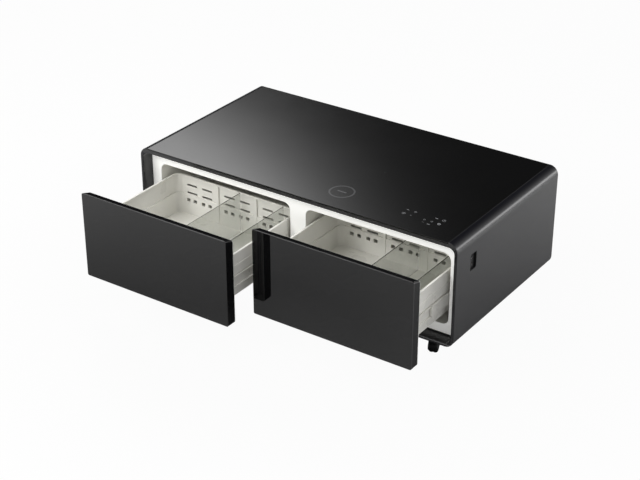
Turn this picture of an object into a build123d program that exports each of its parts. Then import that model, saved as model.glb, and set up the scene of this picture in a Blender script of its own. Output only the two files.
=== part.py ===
from build123d import *

import os

# A low glass-topped table whose cabinet holds two chilled drawers.
# Millimetres. X runs left to right, Y front to back, Z up from the floor.
# The drawers stand open at rest, and the origin is under the middle of the whole table.

# Whole table
cabinet_width = 1300.0
cabinet_depth = 694.0
cabinet_height = 460.0
ground_clearance = 76.0
left_reach = 339.0
right_reach = 219.0

# Cabinet shell and glass top
shell_wall = 11.0
shell_radius = 33.0
top_wall = 18.0
glass_thick = 6.0
edge_break = 1.0
glass_break = 0.8

# Front recess, flange and compartments
recess_depth = 50.0
flange_thick = 3.0
stile_width = 38.0
mullion_width = 62.8
header_height = 52.0
sill_height = 37.0
opening_radius = 27.0
liner_wall = 2.5
compartment_depth = 472.0
duct_depth = 48.0
foam_behind = 22.0

# Drawer fronts
front_side_gap = 14.0
front_middle_gap = 15.0
front_top_gap = 20.5
front_bottom_gap = 15.5
front_glass_thick = 4.0
front_case_depth = 33.0
front_case_wall = 3.0
front_cover_thick = 3.0
front_slope = 12.0
front_corner = 6.0
gasket_thick = 9.5
gasket_width = 10.0
gasket_margin = 5.0

# Drawer tubs, with heights as shares of the opening's height
tub_side_gap = 9.8
tub_back_gap = 10.0
tub_step = 4.0
tub_rim_share = 0.767
tub_step_share = 0.474
tub_floor_share = 0.173
tub_wall = 3.5
tub_rim_width = 8.0
tub_rim_height = 6.0
tub_corner = 28.0
divider_thick = 3.0

# Clearances shared by everything
fit_gap = 0.3
slide_gap = 0.4
running_gap = 0.5
cut_over = 5.0

# Places that follow from the sizes above
front_y = (max(left_reach, right_reach) - cabinet_depth) / 2
back_y = front_y + cabinet_depth
half_width = cabinet_width / 2
cavity_half = half_width - shell_wall
floor_z = ground_clearance + shell_wall
ceiling_z = cabinet_height - top_wall
cavity_height = ceiling_z - floor_z
cavity_z = (ceiling_z + floor_z) / 2
cavity_radius = shell_radius - shell_wall
flange_y = front_y + recess_depth
liner_y = flange_y + flange_thick
liner_back_y = flange_y + compartment_depth
foam_back_y = liner_back_y + liner_wall + foam_behind
opening_width = cavity_half - stile_width - mullion_width / 2
opening_x = (opening_width + mullion_width) / 2
opening_top = ceiling_z - header_height
opening_bottom = floor_z + sill_height
opening_height = opening_top - opening_bottom
opening_z = (opening_top + opening_bottom) / 2
front_width = cavity_half - front_side_gap - front_middle_gap / 2
front_x = (front_width + front_middle_gap) / 2
front_top = ceiling_z - front_top_gap
front_bottom = floor_z + front_bottom_gap
front_thick = front_glass_thick + front_case_depth + front_cover_thick
duct_y = liner_back_y - duct_depth
tub_width = opening_width - 2 * tub_side_gap
tub_depth = duct_y - tub_back_gap - front_y - front_thick
tub_top = opening_bottom + tub_rim_share * opening_height
tub_bottom = opening_bottom + tub_floor_share * opening_height
tub_step_z = opening_bottom + tub_step_share * opening_height

# Name, direction in X, how far the drawer stands out
sides = (("left", -1, left_reach), ("right", 1, right_reach))


def front_plane(y, x=0, z=0):
    """A plane that faces the front, with X to the right and Z up.

    Extruding by a minus length goes towards the back.
    """
    return Plane(origin=(x, y, z), x_dir=(1, 0, 0), z_dir=(0, -1, 0))


def side_plane(x, y=0, z=0):
    """A plane that faces the right-hand side, with Y and Z as its own axes."""
    return Plane(origin=(x, y, z), x_dir=(0, 1, 0), z_dir=(1, 0, 0))


def block(low, high, mode=Mode.ADD):
    """A box between two corners, in the part that is being built."""
    middle = [(a + b) / 2 for a, b in zip(low, high)]
    with Locations(tuple(middle)):
        Box(*[b - a for a, b in zip(low, high)], mode=mode)


def keep(piece, name):
    """Labels a finished piece and writes it out."""
    piece.part.label = name
    export_step(piece.part, f"parts/{name}.step")


os.makedirs("parts", exist_ok=True)

# Screws: one pan head screw holds the casters and the back panel
screw_radius = 2.0
screw_length = 9.0
screw_head_radius = 4.0
screw_head_height = 2.4
screw_drive_width = 1.2
screw_drive_depth = 1.2
screw_hole_radius = screw_radius + fit_gap

# Casters
caster_inset_x = 100.0
caster_inset_y = 46.0
caster_plate_size = 54.0
caster_plate_thick = 3.0
caster_plate_corner = 6.0
caster_screw_pitch = 40.0
caster_plate_z = ground_clearance - caster_plate_thick
caster_places = [
    (f"{end}_{name}", side * (half_width - caster_inset_x), y)
    for end, y in (("front", front_y + caster_inset_y), ("rear", back_y - caster_inset_y))
    for name, side, reach in sides
]

# Back panel and the bosses that it is screwed to
panel_thick = 2.0
panel_inset = 4.0
boss_size = 18.0
boss_depth = 16.0
panel_seat_y = back_y - panel_inset - panel_thick
boss_x = cavity_half - boss_size / 2
boss_low_z = floor_z + boss_size / 2
boss_high_z = ceiling_z - boss_size / 2
corner_boss_lift = cavity_radius
middle_boss_share = 2 / 5
boss_places = [
    (direction * boss_x, z)
    for direction in (-1, 1)
    for z in (boss_low_z + corner_boss_lift, boss_high_z - corner_boss_lift)
] + [
    (direction * middle_boss_share * boss_x, z)
    for direction in (-1, 1)
    for z in (boss_low_z, boss_high_z)
]

# Electronics let into the shell under the glass
touch_place_share = 0.708
touch_setback = 97.0
touch_length = 172.0
touch_width = 78.0
touch_board_thick = 1.6
touch_chip_height = 2.4
touch_pocket_depth = 5.0
coil_place_share = 0.215
coil_setback = 108.6
coil_radius = 43.0
coil_hole_radius = 21.0
coil_ferrite_thick = 2.0
coil_winding_thick = 2.6
coil_pocket_depth = 5.5
touch_x = touch_place_share * half_width
touch_y = front_y + touch_setback
coil_x = coil_place_share * half_width
coil_y = front_y + coil_setback

# Outlet in the right-hand side
outlet_setback = 109.0
outlet_drop = 104.5
outlet_width = 40.0
outlet_height = 61.0
outlet_corner = 5.0
outlet_depth = 27.0
outlet_wall = 2.0
outlet_recess = 7.0
outlet_y = front_y + outlet_setback
outlet_z = cabinet_height - outlet_drop

# Air slots in the floor under the machinery
floor_slot_length = 90.0
floor_slot_width = 7.0
floor_slot_pitch = 14.0
floor_slot_count = 6
machine_y = (foam_back_y + panel_seat_y) / 2

# Shell: a rounded tube, open at the front and back
glass_half = half_width - shell_radius - fit_gap
rebate_z = cabinet_height - glass_thick
with BuildPart() as outer_shell:
    with BuildSketch(front_plane(front_y)):
        with Locations((0, (ground_clearance + cabinet_height) / 2)):
            RectangleRounded(cabinet_width, cabinet_height - ground_clearance, shell_radius)
        with Locations((0, cavity_z)):
            RectangleRounded(2 * cavity_half, cavity_height, cavity_radius, mode=Mode.SUBTRACT)
    extrude(amount=-cabinet_depth)
    rims = outer_shell.edges().filter_by(lambda e: abs(e.center().Y - front_y) < edge_break)
    chamfer(rims, length=edge_break)
    block(
        (-glass_half - fit_gap, front_y - cut_over, rebate_z),
        (glass_half + fit_gap, back_y + cut_over, cabinet_height + cut_over),
        mode=Mode.SUBTRACT,
    )
    for x, z in boss_places:
        block(
            (x - boss_size / 2, panel_seat_y - boss_depth, z - boss_size / 2),
            (x + boss_size / 2, panel_seat_y, z + boss_size / 2),
        )
    with BuildSketch(front_plane(panel_seat_y)):
        with Locations(*boss_places):
            Circle(screw_hole_radius)
    extrude(amount=screw_length, mode=Mode.SUBTRACT)
    with BuildSketch(Plane.XY.offset(rebate_z)):
        with Locations((touch_x, touch_y)):
            RectangleRounded(touch_length + 2 * fit_gap, touch_width + 2 * fit_gap, edge_break)
    extrude(amount=-touch_pocket_depth, mode=Mode.SUBTRACT)
    with BuildSketch(Plane.XY.offset(rebate_z)):
        with Locations((coil_x, coil_y)):
            Circle(coil_radius + fit_gap)
    extrude(amount=-coil_pocket_depth, mode=Mode.SUBTRACT)
    with BuildSketch(side_plane(half_width + cut_over)):
        with Locations((outlet_y, outlet_z)):
            RectangleRounded(outlet_width + 2 * fit_gap, outlet_height + 2 * fit_gap, outlet_corner)
    extrude(amount=-cut_over - shell_wall - edge_break, mode=Mode.SUBTRACT)
    with BuildSketch(Plane.XY.offset(ground_clearance - cut_over)):
        for name, x, y in caster_places:
            with Locations((x, y)):
                with GridLocations(caster_screw_pitch, caster_screw_pitch, 2, 2):
                    Circle(screw_hole_radius)
    extrude(amount=cut_over + screw_length, mode=Mode.SUBTRACT)
    with BuildSketch(Plane.XY.offset(ground_clearance - cut_over)):
        with Locations((0, machine_y)):
            with GridLocations(2 * floor_slot_length, floor_slot_pitch, 4, floor_slot_count):
                SlotOverall(floor_slot_length, floor_slot_width)
    extrude(amount=2 * cut_over + shell_wall, mode=Mode.SUBTRACT)
keep(outer_shell, "outer_shell")

with BuildPart() as glass_top:
    block((-glass_half, front_y, rebate_z), (glass_half, back_y, cabinet_height))
    chamfer(glass_top.faces().sort_by(Axis.Z)[-1].edges(), length=glass_break)
keep(glass_top, "glass_top")

# Touch board: a circuit board against the underside of the glass
chip_rows = 2
chip_columns = 5
chip_size = 9.0
chip_pitch_x = 32.0
chip_pitch_y = 34.0
with BuildPart() as touch_board:
    with BuildSketch(Plane.XY.offset(rebate_z)):
        with Locations((touch_x, touch_y)):
            RectangleRounded(touch_length, touch_width, edge_break)
    extrude(amount=-touch_board_thick)
    with BuildSketch(Plane.XY.offset(rebate_z - touch_board_thick)):
        with Locations((touch_x, touch_y)):
            with GridLocations(chip_pitch_x, chip_pitch_y, chip_columns, chip_rows):
                Rectangle(chip_size, chip_size)
    extrude(amount=-touch_chip_height)
keep(touch_board, "touch_board")

# Charging coil: a ferrite disc with a flat winding on it, against the glass
with BuildPart() as charging_coil:
    with BuildSketch(Plane.XY.offset(rebate_z)):
        with Locations((coil_x, coil_y)):
            Circle(coil_radius - edge_break)
            Circle(coil_hole_radius, mode=Mode.SUBTRACT)
    extrude(amount=-coil_winding_thick)
    with BuildSketch(Plane.XY.offset(rebate_z - coil_winding_thick)):
        with Locations((coil_x, coil_y)):
            Circle(coil_radius)
    extrude(amount=-coil_ferrite_thick)
keep(charging_coil, "charging_coil")

# Outlet: a recessed cup in the side wall with an insert of two ports
port_width = 14.0
port_height = 7.0
port_depth = 4.5
port_tongue = 2.0
port_pitch = 22.0
with BuildPart() as outlet_housing:
    with BuildSketch(side_plane(half_width)):
        with Locations((outlet_y, outlet_z)):
            RectangleRounded(outlet_width, outlet_height, outlet_corner)
    extrude(amount=-outlet_depth)
    with BuildSketch(side_plane(half_width)):
        with Locations((outlet_y, outlet_z)):
            RectangleRounded(
                outlet_width - 2 * outlet_wall,
                outlet_height - 2 * outlet_wall,
                outlet_corner - outlet_wall,
            )
    extrude(amount=outlet_wall - outlet_depth, mode=Mode.SUBTRACT)
keep(outlet_housing, "outlet_housing")

insert_face_x = half_width - outlet_recess
with BuildPart() as outlet_insert:
    with BuildSketch(side_plane(insert_face_x)):
        with Locations((outlet_y, outlet_z)):
            RectangleRounded(
                outlet_width - 2 * outlet_wall - 2 * fit_gap,
                outlet_height - 2 * outlet_wall - 2 * fit_gap,
                outlet_corner - outlet_wall,
            )
    extrude(amount=outlet_recess + outlet_wall - outlet_depth)
    with BuildSketch(side_plane(insert_face_x)):
        with Locations((outlet_y, outlet_z)):
            with GridLocations(port_pitch, port_pitch, 1, 2):
                RectangleRounded(port_width, port_height, edge_break)
                Rectangle(port_width - 2 * port_tongue, port_tongue, mode=Mode.SUBTRACT)
    extrude(amount=-port_depth, mode=Mode.SUBTRACT)
keep(outlet_insert, "outlet_insert")

# Front flange: the pale face behind the lip, with an opening for each drawer
with BuildPart() as front_flange:
    with BuildSketch(front_plane(flange_y)):
        with Locations((0, cavity_z)):
            RectangleRounded(
                2 * (cavity_half - fit_gap),
                cavity_height - 2 * fit_gap,
                cavity_radius - fit_gap,
            )
        with Locations(*[(side * opening_x, opening_z) for name, side, reach in sides]):
            RectangleRounded(opening_width, opening_height, opening_radius, mode=Mode.SUBTRACT)
    extrude(amount=-flange_thick)
keep(front_flange, "front_flange")


# Evaporator sizes: its tube passes through the liner and the foam
evaporator_side_room = 50.0
evaporator_room = 45.0
evaporator_plate = 1.2
evaporator_gap = 12.0
evaporator_runs = 6
evaporator_inset = 26.0
evaporator_bend = 11.0
evaporator_foot = 5.0
evaporator_foot_inset = 9.0
tube_radius = 3.5
tube_sink = 0.6
tube_hole_gap = 1.5
tube_stub = 8.0
evaporator_width = opening_width - 2 * evaporator_side_room
evaporator_height = opening_height - 2 * evaporator_room
evaporator_plate_y = liner_back_y - evaporator_gap
evaporator_tube_y = evaporator_plate_y + evaporator_plate + tube_radius - tube_sink
evaporator_z = opening_z
run_pitch = (evaporator_height - 2 * evaporator_inset) / (evaporator_runs - 1)
run_low_z = evaporator_z - evaporator_height / 2 + evaporator_inset
run_high_z = run_low_z + run_pitch * (evaporator_runs - 1)
run_half = evaporator_width / 2 - evaporator_inset
tube_end_y = foam_back_y + tube_stub


def tube_end_x(side):
    """Both ends of an evaporator's tube leave towards the middle of the table."""
    return side * (opening_x - run_half)


def tube_holes(start_y, end_y):
    """Cuts the ways out for the ends of both evaporators' tubes."""
    with BuildSketch(front_plane(start_y)) as holes:
        for name, side, reach in sides:
            with Locations((tube_end_x(side), run_low_z), (tube_end_x(side), run_high_z)):
                Circle(tube_radius + tube_hole_gap)
    extrude(holes.sketch, amount=start_y - end_y, mode=Mode.SUBTRACT)


def compartment_liner(side):
    """A box open to the front that carries on from the flange's opening."""
    with BuildPart() as liner:
        with BuildSketch(front_plane(liner_y)):
            with Locations((side * opening_x, opening_z)):
                RectangleRounded(
                    opening_width + 2 * liner_wall,
                    opening_height + 2 * liner_wall,
                    opening_radius + liner_wall,
                )
        extrude(amount=liner_y - liner_back_y - liner_wall)
        with BuildSketch(front_plane(liner_y)):
            with Locations((side * opening_x, opening_z)):
                RectangleRounded(opening_width, opening_height, opening_radius)
        extrude(amount=liner_y - liner_back_y, mode=Mode.SUBTRACT)
        tube_holes(liner_back_y - liner_wall, liner_back_y + 2 * liner_wall)
    return liner


for name, side, reach in sides:
    keep(compartment_liner(side), f"{name}_liner")

# Insulation: foam that fills the cabinet round both liners
with BuildPart() as insulation_foam:
    with BuildSketch(front_plane(liner_y)):
        with Locations((0, cavity_z)):
            RectangleRounded(
                2 * (cavity_half - fit_gap),
                cavity_height - 2 * fit_gap,
                cavity_radius - fit_gap,
            )
    extrude(amount=liner_y - foam_back_y)
    with BuildSketch(front_plane(liner_y)):
        with Locations(*[(side * opening_x, opening_z) for name, side, reach in sides]):
            RectangleRounded(
                opening_width + 2 * (liner_wall + fit_gap),
                opening_height + 2 * (liner_wall + fit_gap),
                opening_radius + liner_wall + fit_gap,
            )
    extrude(amount=liner_y - liner_back_y - liner_wall, mode=Mode.SUBTRACT)
    with BuildSketch(side_plane(half_width)):
        with Locations((outlet_y, outlet_z)):
            RectangleRounded(outlet_width + 2 * fit_gap, outlet_height + 2 * fit_gap, outlet_corner)
    extrude(amount=-outlet_depth - fit_gap, mode=Mode.SUBTRACT)
    tube_holes(liner_back_y, foam_back_y + cut_over)
keep(insulation_foam, "insulation_foam")

# Light strips under the front of each compartment's ceiling
strip_end_room = 45.0
strip_length = opening_width - 2 * strip_end_room
strip_width = 9.0
strip_height = 4.0
strip_setback = 12.0
with BuildPart() as led_strips:
    for name, side, reach in sides:
        block(
            (side * opening_x - strip_length / 2, flange_y + strip_setback, opening_top - strip_height),
            (side * opening_x + strip_length / 2, flange_y + strip_setback + strip_width, opening_top),
        )
keep(led_strips, "led_strips")

# Fans: square frame, motor seat on four struts, pitched blades on a hub
fan_corner = 5.0
fan_rim = 2.5
fan_hub_radius = 17.0
fan_strut_width = 5.0
fan_strut_thick = 3.0
fan_shaft_radius = 1.6
fan_shaft_length = 12.0
fan_front_gap = 3.0
blade_count = 7
blade_chord = 20.0
blade_thick = 1.4
blade_pitch = 40.0
blade_tip_gap = 3.0


def fan_frame(seat, size, depth):
    """The frame stands on its seat plane and reaches along the plane's normal."""
    bore = size / 2 - fan_rim
    with BuildPart() as frame:
        with BuildSketch(seat):
            RectangleRounded(size, size, fan_corner)
            Circle(bore, mode=Mode.SUBTRACT)
        extrude(amount=depth)
        with BuildSketch(seat.offset(depth - fan_strut_thick)):
            Circle(fan_hub_radius)
            Rectangle(2 * bore + fan_rim, fan_strut_width)
            Rectangle(fan_strut_width, 2 * bore + fan_rim)
        extrude(amount=fan_strut_thick)
        with BuildSketch(seat.offset(depth - fan_strut_thick)):
            Circle(fan_shaft_radius)
        extrude(amount=-fan_shaft_length)
    return frame


def fan_rotor(seat, size, depth):
    """A hub that runs on the frame's shaft, with flat blades set at a pitch."""
    tip = size / 2 - fan_rim - blade_tip_gap
    hub_length = depth - fan_front_gap - fan_strut_thick - running_gap
    hub_middle = fan_front_gap + hub_length / 2
    blade_root = fan_hub_radius - blade_thick
    with BuildPart(seat) as rotor:
        with Locations((0, 0, hub_middle)):
            Cylinder(fan_hub_radius, hub_length)
            with PolarLocations((tip + blade_root) / 2, blade_count):
                Box(tip - blade_root, blade_thick, blade_chord, rotation=(blade_pitch, 0, 0))
        with Locations((0, 0, fan_front_gap + hub_length - fan_shaft_length / 2)):
            Cylinder(fan_shaft_radius + running_gap, fan_shaft_length, mode=Mode.SUBTRACT)
    return rotor


# Cold air duct at the back of each compartment
duct_cover_thick = 3.0
duct_slot_width = 5.0
duct_slot_pitch = 9.0
duct_slot_count = 9
duct_fan_size = 92.0
duct_fan_depth = 25.0
duct_fan_drop = 60.0
return_slot_length = 44.0
return_slot_width = 6.0
return_slot_pitch_x = 62.0
return_slot_pitch_z = 13.0
return_slot_columns = 7
return_slot_rows = 2
return_slot_rise = 34.0
duct_fan_z = opening_top - duct_fan_drop


def duct_cover(side):
    """A panel across the compartment, slotted for the fan and for returning air."""
    with BuildPart() as cover:
        with BuildSketch(front_plane(duct_y)):
            with Locations((side * opening_x, opening_z)):
                RectangleRounded(
                    opening_width - 2 * fit_gap,
                    opening_height - 2 * fit_gap,
                    opening_radius - fit_gap,
                )
        extrude(amount=-duct_cover_thick)
        with BuildSketch(front_plane(duct_y - cut_over)):
            with Locations((side * opening_x, duct_fan_z)):
                with GridLocations(0, duct_slot_pitch, 1, duct_slot_count):
                    SlotOverall(duct_fan_size - 2 * duct_slot_pitch, duct_slot_width)
            with Locations((side * opening_x, opening_bottom + return_slot_rise)):
                with GridLocations(
                    return_slot_pitch_x, return_slot_pitch_z, return_slot_columns, return_slot_rows
                ):
                    SlotOverall(return_slot_length, return_slot_width)
        extrude(amount=-2 * cut_over - duct_cover_thick, mode=Mode.SUBTRACT)
    return cover


# Evaporator: a flat plate with a serpentine tube on its back, stood off the liner
def evaporator(side):
    """One evaporator, whose tube ends pass through the liner and the foam."""
    near = tube_end_x(side)
    far = side * (opening_x + run_half)
    points = [(near, tube_end_y, run_low_z)]
    for run in range(evaporator_runs):
        z = run_low_z + run * run_pitch
        ends = (near, far) if run % 2 == 0 else (far, near)
        points += [(x, evaporator_tube_y, z) for x in ends]
    points.append((near, tube_end_y, run_high_z))
    feet_x = evaporator_width / 2 - evaporator_foot_inset
    feet_z = evaporator_height / 2 - evaporator_foot_inset
    with BuildPart() as plate:
        with BuildLine() as path:
            FilletPolyline(*points, radius=evaporator_bend)
        with BuildSketch(Plane(origin=points[0], x_dir=(1, 0, 0), z_dir=(0, -1, 0))):
            Circle(tube_radius)
        sweep()
        with BuildSketch(front_plane(evaporator_plate_y)):
            with Locations((side * opening_x, evaporator_z)):
                Rectangle(evaporator_width, evaporator_height)
        extrude(amount=-evaporator_plate)
        with BuildSketch(front_plane(evaporator_plate_y)):
            with Locations((side * opening_x, evaporator_z)):
                with GridLocations(2 * feet_x, 2 * feet_z, 2, 2):
                    Circle(evaporator_foot)
        extrude(amount=-evaporator_gap)
    return plate


for name, side, reach in sides:
    duct_seat = Plane(
        origin=(side * opening_x, duct_y + duct_cover_thick, duct_fan_z),
        x_dir=(1, 0, 0),
        z_dir=(0, 1, 0),
    )
    keep(duct_cover(side), f"{name}_duct_cover")
    keep(fan_frame(duct_seat, duct_fan_size, duct_fan_depth), f"{name}_fan_frame")
    keep(fan_rotor(duct_seat, duct_fan_size, duct_fan_depth), f"{name}_fan_rotor")
    keep(evaporator(side), f"{name}_evaporator")

# Drawer fronts: glass, a case with a sloping top edge, foam and an inner cover
case_y = front_glass_thick
cover_y = case_y + front_case_depth
slope_run = front_case_depth + front_cover_thick
glass_edge = 0.6
case_edge = 0.8


def front_height(depth):
    """The height of the front's top edge at a depth behind the front's face."""
    return front_top - front_slope * (depth - case_y) / slope_run


def front_slab(x, face_y, start, end, inset, mode=Mode.ADD):
    """A slice of the drawer front between two depths, under the sloping top."""
    with BuildSketch(side_plane(x - front_width / 2 + inset)) as profile:
        with BuildLine():
            Polyline(
                (face_y + start, front_bottom + inset),
                (face_y + start, front_height(start) - inset),
                (face_y + end, front_height(end) - inset),
                (face_y + end, front_bottom + inset),
                close=True,
            )
        make_face()
    extrude(profile.sketch, amount=front_width - 2 * inset, mode=mode)


def round_corners(slab, radius):
    """Rounds the four edges of a slab that run from its front to its back."""
    ends = slab.faces().sort_by(Axis.X)
    rims = ends[0].edges() + ends[-1].edges()
    fillet(rims.filter_by(lambda e: abs(e.tangent_at(0).Y) > abs(e.tangent_at(0).Z)), radius=radius)


def drawer_glass(x, face_y):
    with BuildPart() as glass:
        with BuildSketch(front_plane(face_y, x, (front_top + front_bottom) / 2)):
            RectangleRounded(front_width, front_top - front_bottom, front_corner)
        extrude(amount=-front_glass_thick)
        chamfer(glass.faces().sort_by(Axis.Y)[0].edges(), length=glass_edge)
    return glass


def drawer_case(x, face_y):
    with BuildPart() as case:
        front_slab(x, face_y, case_y, cover_y, 0)
        round_corners(case, front_corner)
        front_slab(x, face_y, case_y + front_case_wall, cover_y, front_case_wall, Mode.SUBTRACT)
    return case


def drawer_core(x, face_y):
    with BuildPart() as core:
        front_slab(x, face_y, case_y + front_case_wall, cover_y, front_case_wall)
    return core


def drawer_cover(x, face_y):
    with BuildPart() as cover:
        front_slab(x, face_y, cover_y, front_thick, case_edge)
        round_corners(cover, front_corner - case_edge)
    return cover


def drawer_gasket(x, face_y):
    """A soft ring that meets the flange round the opening when the drawer is shut."""
    with BuildPart() as gasket:
        with BuildSketch(front_plane(face_y + front_thick)):
            with Locations((x, opening_z)):
                for growth, mode in (
                    (gasket_margin + gasket_width, Mode.ADD),
                    (gasket_margin, Mode.SUBTRACT),
                ):
                    RectangleRounded(
                        opening_width + 2 * growth,
                        opening_height + 2 * growth,
                        opening_radius + growth,
                        mode=mode,
                    )
        extrude(amount=-gasket_thick)
    return gasket


# Drawer tubs: a moulded tray, narrower below a step, with a slotted rear wall
tub_band_drop_share = 0.55
tub_band_height = 13.0
tub_band_thick = 1.2
tub_edge = 1.5
tub_front_corner = 4.0
tub_rib_width = 12.0
tub_rib_reach = 2.0
vent_height = 8.0
vent_length_share = 0.084
vent_pitch_share = 0.124
vent_pair_share = 0.309
vent_drop_shares = (0.24, 0.437)
vent_window_drop_share = 0.614
vent_window_width_share = 0.029
vent_window_pitch_share = 0.055
vent_window_height = 14.0
vent_window_corner = 2.5
tub_height = tub_top - tub_bottom
tub_band_z = tub_top - tub_band_drop_share * (tub_top - tub_step_z)
vent_length = vent_length_share * tub_width
vent_pitch = vent_pitch_share * tub_width
vent_pair_pitch = vent_pair_share * tub_width
vent_window_width = vent_window_width_share * tub_width
vent_window_pitch = vent_window_pitch_share * tub_width
vent_window_z = tub_top - vent_window_drop_share * tub_height


def tub_outline(x, start_y, inset, corner, mode=Mode.ADD):
    """The tub's plan, with large corners at the back and small ones in front."""
    with Locations((x, start_y + tub_depth / 2)):
        RectangleRounded(tub_width - 2 * inset, tub_depth - 2 * inset, corner, mode=mode)
    with Locations((x, start_y + tub_depth / 4 + inset / 2)):
        RectangleRounded(tub_width - 2 * inset, tub_depth / 2 - inset, tub_front_corner, mode=mode)


def drawer_tub(x, start_y):
    with BuildPart() as tub:
        with BuildSketch(Plane.XY.offset(tub_bottom)):
            tub_outline(x, start_y, 0, tub_corner)
        extrude(amount=tub_top - tub_bottom)
        for edge in (-1, 1):
            wall_x = x + edge * tub_width / 2
            low_x, high_x = sorted((wall_x - edge * tub_step, wall_x + edge * cut_over))
            block(
                (low_x, start_y - cut_over, tub_bottom - cut_over),
                (high_x, start_y + tub_depth + cut_over, tub_step_z),
                mode=Mode.SUBTRACT,
            )
        with BuildSketch(Plane.XY.offset(tub_bottom + tub_wall)):
            tub_outline(x, start_y, tub_wall + tub_step, tub_corner - tub_wall - tub_step)
        extrude(amount=tub_top - tub_bottom, mode=Mode.SUBTRACT)
        with BuildSketch(Plane.XY.offset(tub_step_z + tub_wall)):
            tub_outline(x, start_y, tub_wall, tub_corner - tub_wall)
        extrude(amount=tub_top - tub_step_z, mode=Mode.SUBTRACT)
        with BuildSketch(Plane.XY.offset(tub_top - tub_rim_height)):
            tub_outline(x, start_y, 0, tub_corner)
            tub_outline(
                x, start_y, tub_rim_width, tub_corner - tub_rim_width, mode=Mode.SUBTRACT
            )
        extrude(amount=tub_rim_height)
        fillet(tub.faces().sort_by(Axis.Z)[-1].edges(), radius=tub_edge)
        rib_y = start_y + tub_depth - tub_wall - tub_step - tub_rib_reach
        for direction in (-1, 1):
            rib_x = x + direction * vent_pair_pitch / 2
            block(
                (rib_x - tub_rib_width / 2, rib_y, tub_bottom + tub_wall / 2),
                (
                    rib_x + tub_rib_width / 2,
                    start_y + tub_depth - tub_wall / 2,
                    tub_top - tub_rim_height / 2,
                ),
            )
        band_length = tub_depth - 2 * tub_corner
        for edge in (-1, 1):
            wall_x = x + edge * tub_width / 2
            low_x, high_x = sorted((wall_x, wall_x + edge * tub_band_thick))
            block(
                (low_x, start_y, tub_band_z - tub_band_height),
                (high_x, start_y + band_length, tub_band_z),
            )
        with BuildSketch(front_plane(start_y + tub_depth - 2 * tub_wall - tub_step, x)):
            for drop_share in vent_drop_shares:
                for pair in (-1, 0, 1):
                    vent_z = tub_top - drop_share * tub_height
                    with Locations((pair * vent_pair_pitch, vent_z)):
                        with GridLocations(vent_pitch, 0, 2, 1):
                            SlotOverall(vent_length, vent_height)
            for pair in (-1, 0, 1):
                for half in (-1, 1):
                    vent_x = pair * vent_pair_pitch + half * vent_pitch / 2
                    with Locations((vent_x, vent_window_z)):
                        with GridLocations(vent_window_pitch, 0, 2, 1):
                            RectangleRounded(
                                vent_window_width, vent_window_height, vent_window_corner
                            )
        extrude(amount=-2 * tub_wall - 2 * tub_step - cut_over, mode=Mode.SUBTRACT)
    return tub


# Clear dividers stand on the tub's floor, at these shares of half the tub's width
divider_place_share = {"left": (0.065, 0.749), "right": (0.193, 0.822)}
divider_edge = 1.0


def drawer_dividers(x, start_y, place_shares):
    reach_in = tub_wall + tub_step + slide_gap
    rim_in = max(reach_in, tub_rim_width + slide_gap)
    with BuildPart() as dividers:
        for place_share in place_shares:
            place = place_share * tub_width / 2
            block(
                (x + place - divider_thick / 2, start_y + rim_in, tub_bottom + tub_wall),
                (
                    x + place + divider_thick / 2,
                    start_y + tub_depth - rim_in,
                    tub_top - divider_edge,
                ),
            )
        chamfer(dividers.faces().group_by(Axis.Z)[-1].edges().filter_by(Axis.Y), divider_edge / 2)
    return dividers


# Telescopic rails: three nested channels on each side of a tub
rail_half = 22.5
rail_metal = 1.2
rail_web_gap = 1.8
rail_lip_gap = 1.6
rail_drop = 1.5
rail_shortfall = 24.0
rail_setback = 6.0
rail_length = tub_depth - rail_shortfall
rail_room = tub_side_gap + tub_step
rail_z = tub_step_z - rail_drop - rail_half
rail_lip = rail_room - rail_metal - rail_lip_gap
middle_half = rail_half - rail_metal - slide_gap
inner_half = middle_half - rail_metal - slide_gap
middle_web = rail_metal + rail_web_gap
inner_lip = middle_web + rail_metal + rail_web_gap


def channel_pair(x, start_y, web, lip, half):
    """Two channels, one on each side. Web and lip are distances from the liner's wall."""
    with BuildPart() as pair:
        for edge in (-1, 1):
            wall_x = x + edge * opening_width / 2
            web_low, web_high = sorted((wall_x - edge * web, wall_x - edge * (web + rail_metal)))
            far = lip if lip > web else web + rail_metal
            near = min(web, lip)
            lip_low, lip_high = sorted((wall_x - edge * near, wall_x - edge * far))
            end_y = start_y + rail_length
            block((web_low, start_y, rail_z - half), (web_high, end_y, rail_z + half))
            for direction in (-1, 1):
                low_z, high_z = sorted(
                    (rail_z + direction * half, rail_z + direction * (half - rail_metal))
                )
                block((lip_low, start_y, low_z), (lip_high, end_y, high_z))
    return pair


for name, side, reach in sides:
    x = side * front_x
    tub_x = side * opening_x
    face_y = front_y - reach
    tub_y = face_y + front_thick
    rail_y = flange_y + rail_setback
    keep(drawer_glass(x, face_y), f"{name}_drawer_glass")
    keep(drawer_case(x, face_y), f"{name}_drawer_case")
    keep(drawer_core(x, face_y), f"{name}_drawer_core")
    keep(drawer_cover(x, face_y), f"{name}_drawer_cover")
    keep(drawer_gasket(tub_x, face_y), f"{name}_drawer_gasket")
    keep(drawer_tub(tub_x, tub_y), f"{name}_drawer_tub")
    keep(drawer_dividers(tub_x, tub_y, divider_place_share[name]), f"{name}_drawer_dividers")
    fixed_rails = channel_pair(tub_x, rail_y, 0, rail_lip, rail_half)
    middle_rails = channel_pair(tub_x, rail_y - reach / 2, middle_web, rail_lip, middle_half)
    inner_rails = channel_pair(
        tub_x, rail_y - reach, rail_room - rail_metal, inner_lip, inner_half
    )
    keep(fixed_rails, f"{name}_fixed_rails")
    keep(middle_rails, f"{name}_middle_rails")
    keep(inner_rails, f"{name}_inner_rails")

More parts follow.
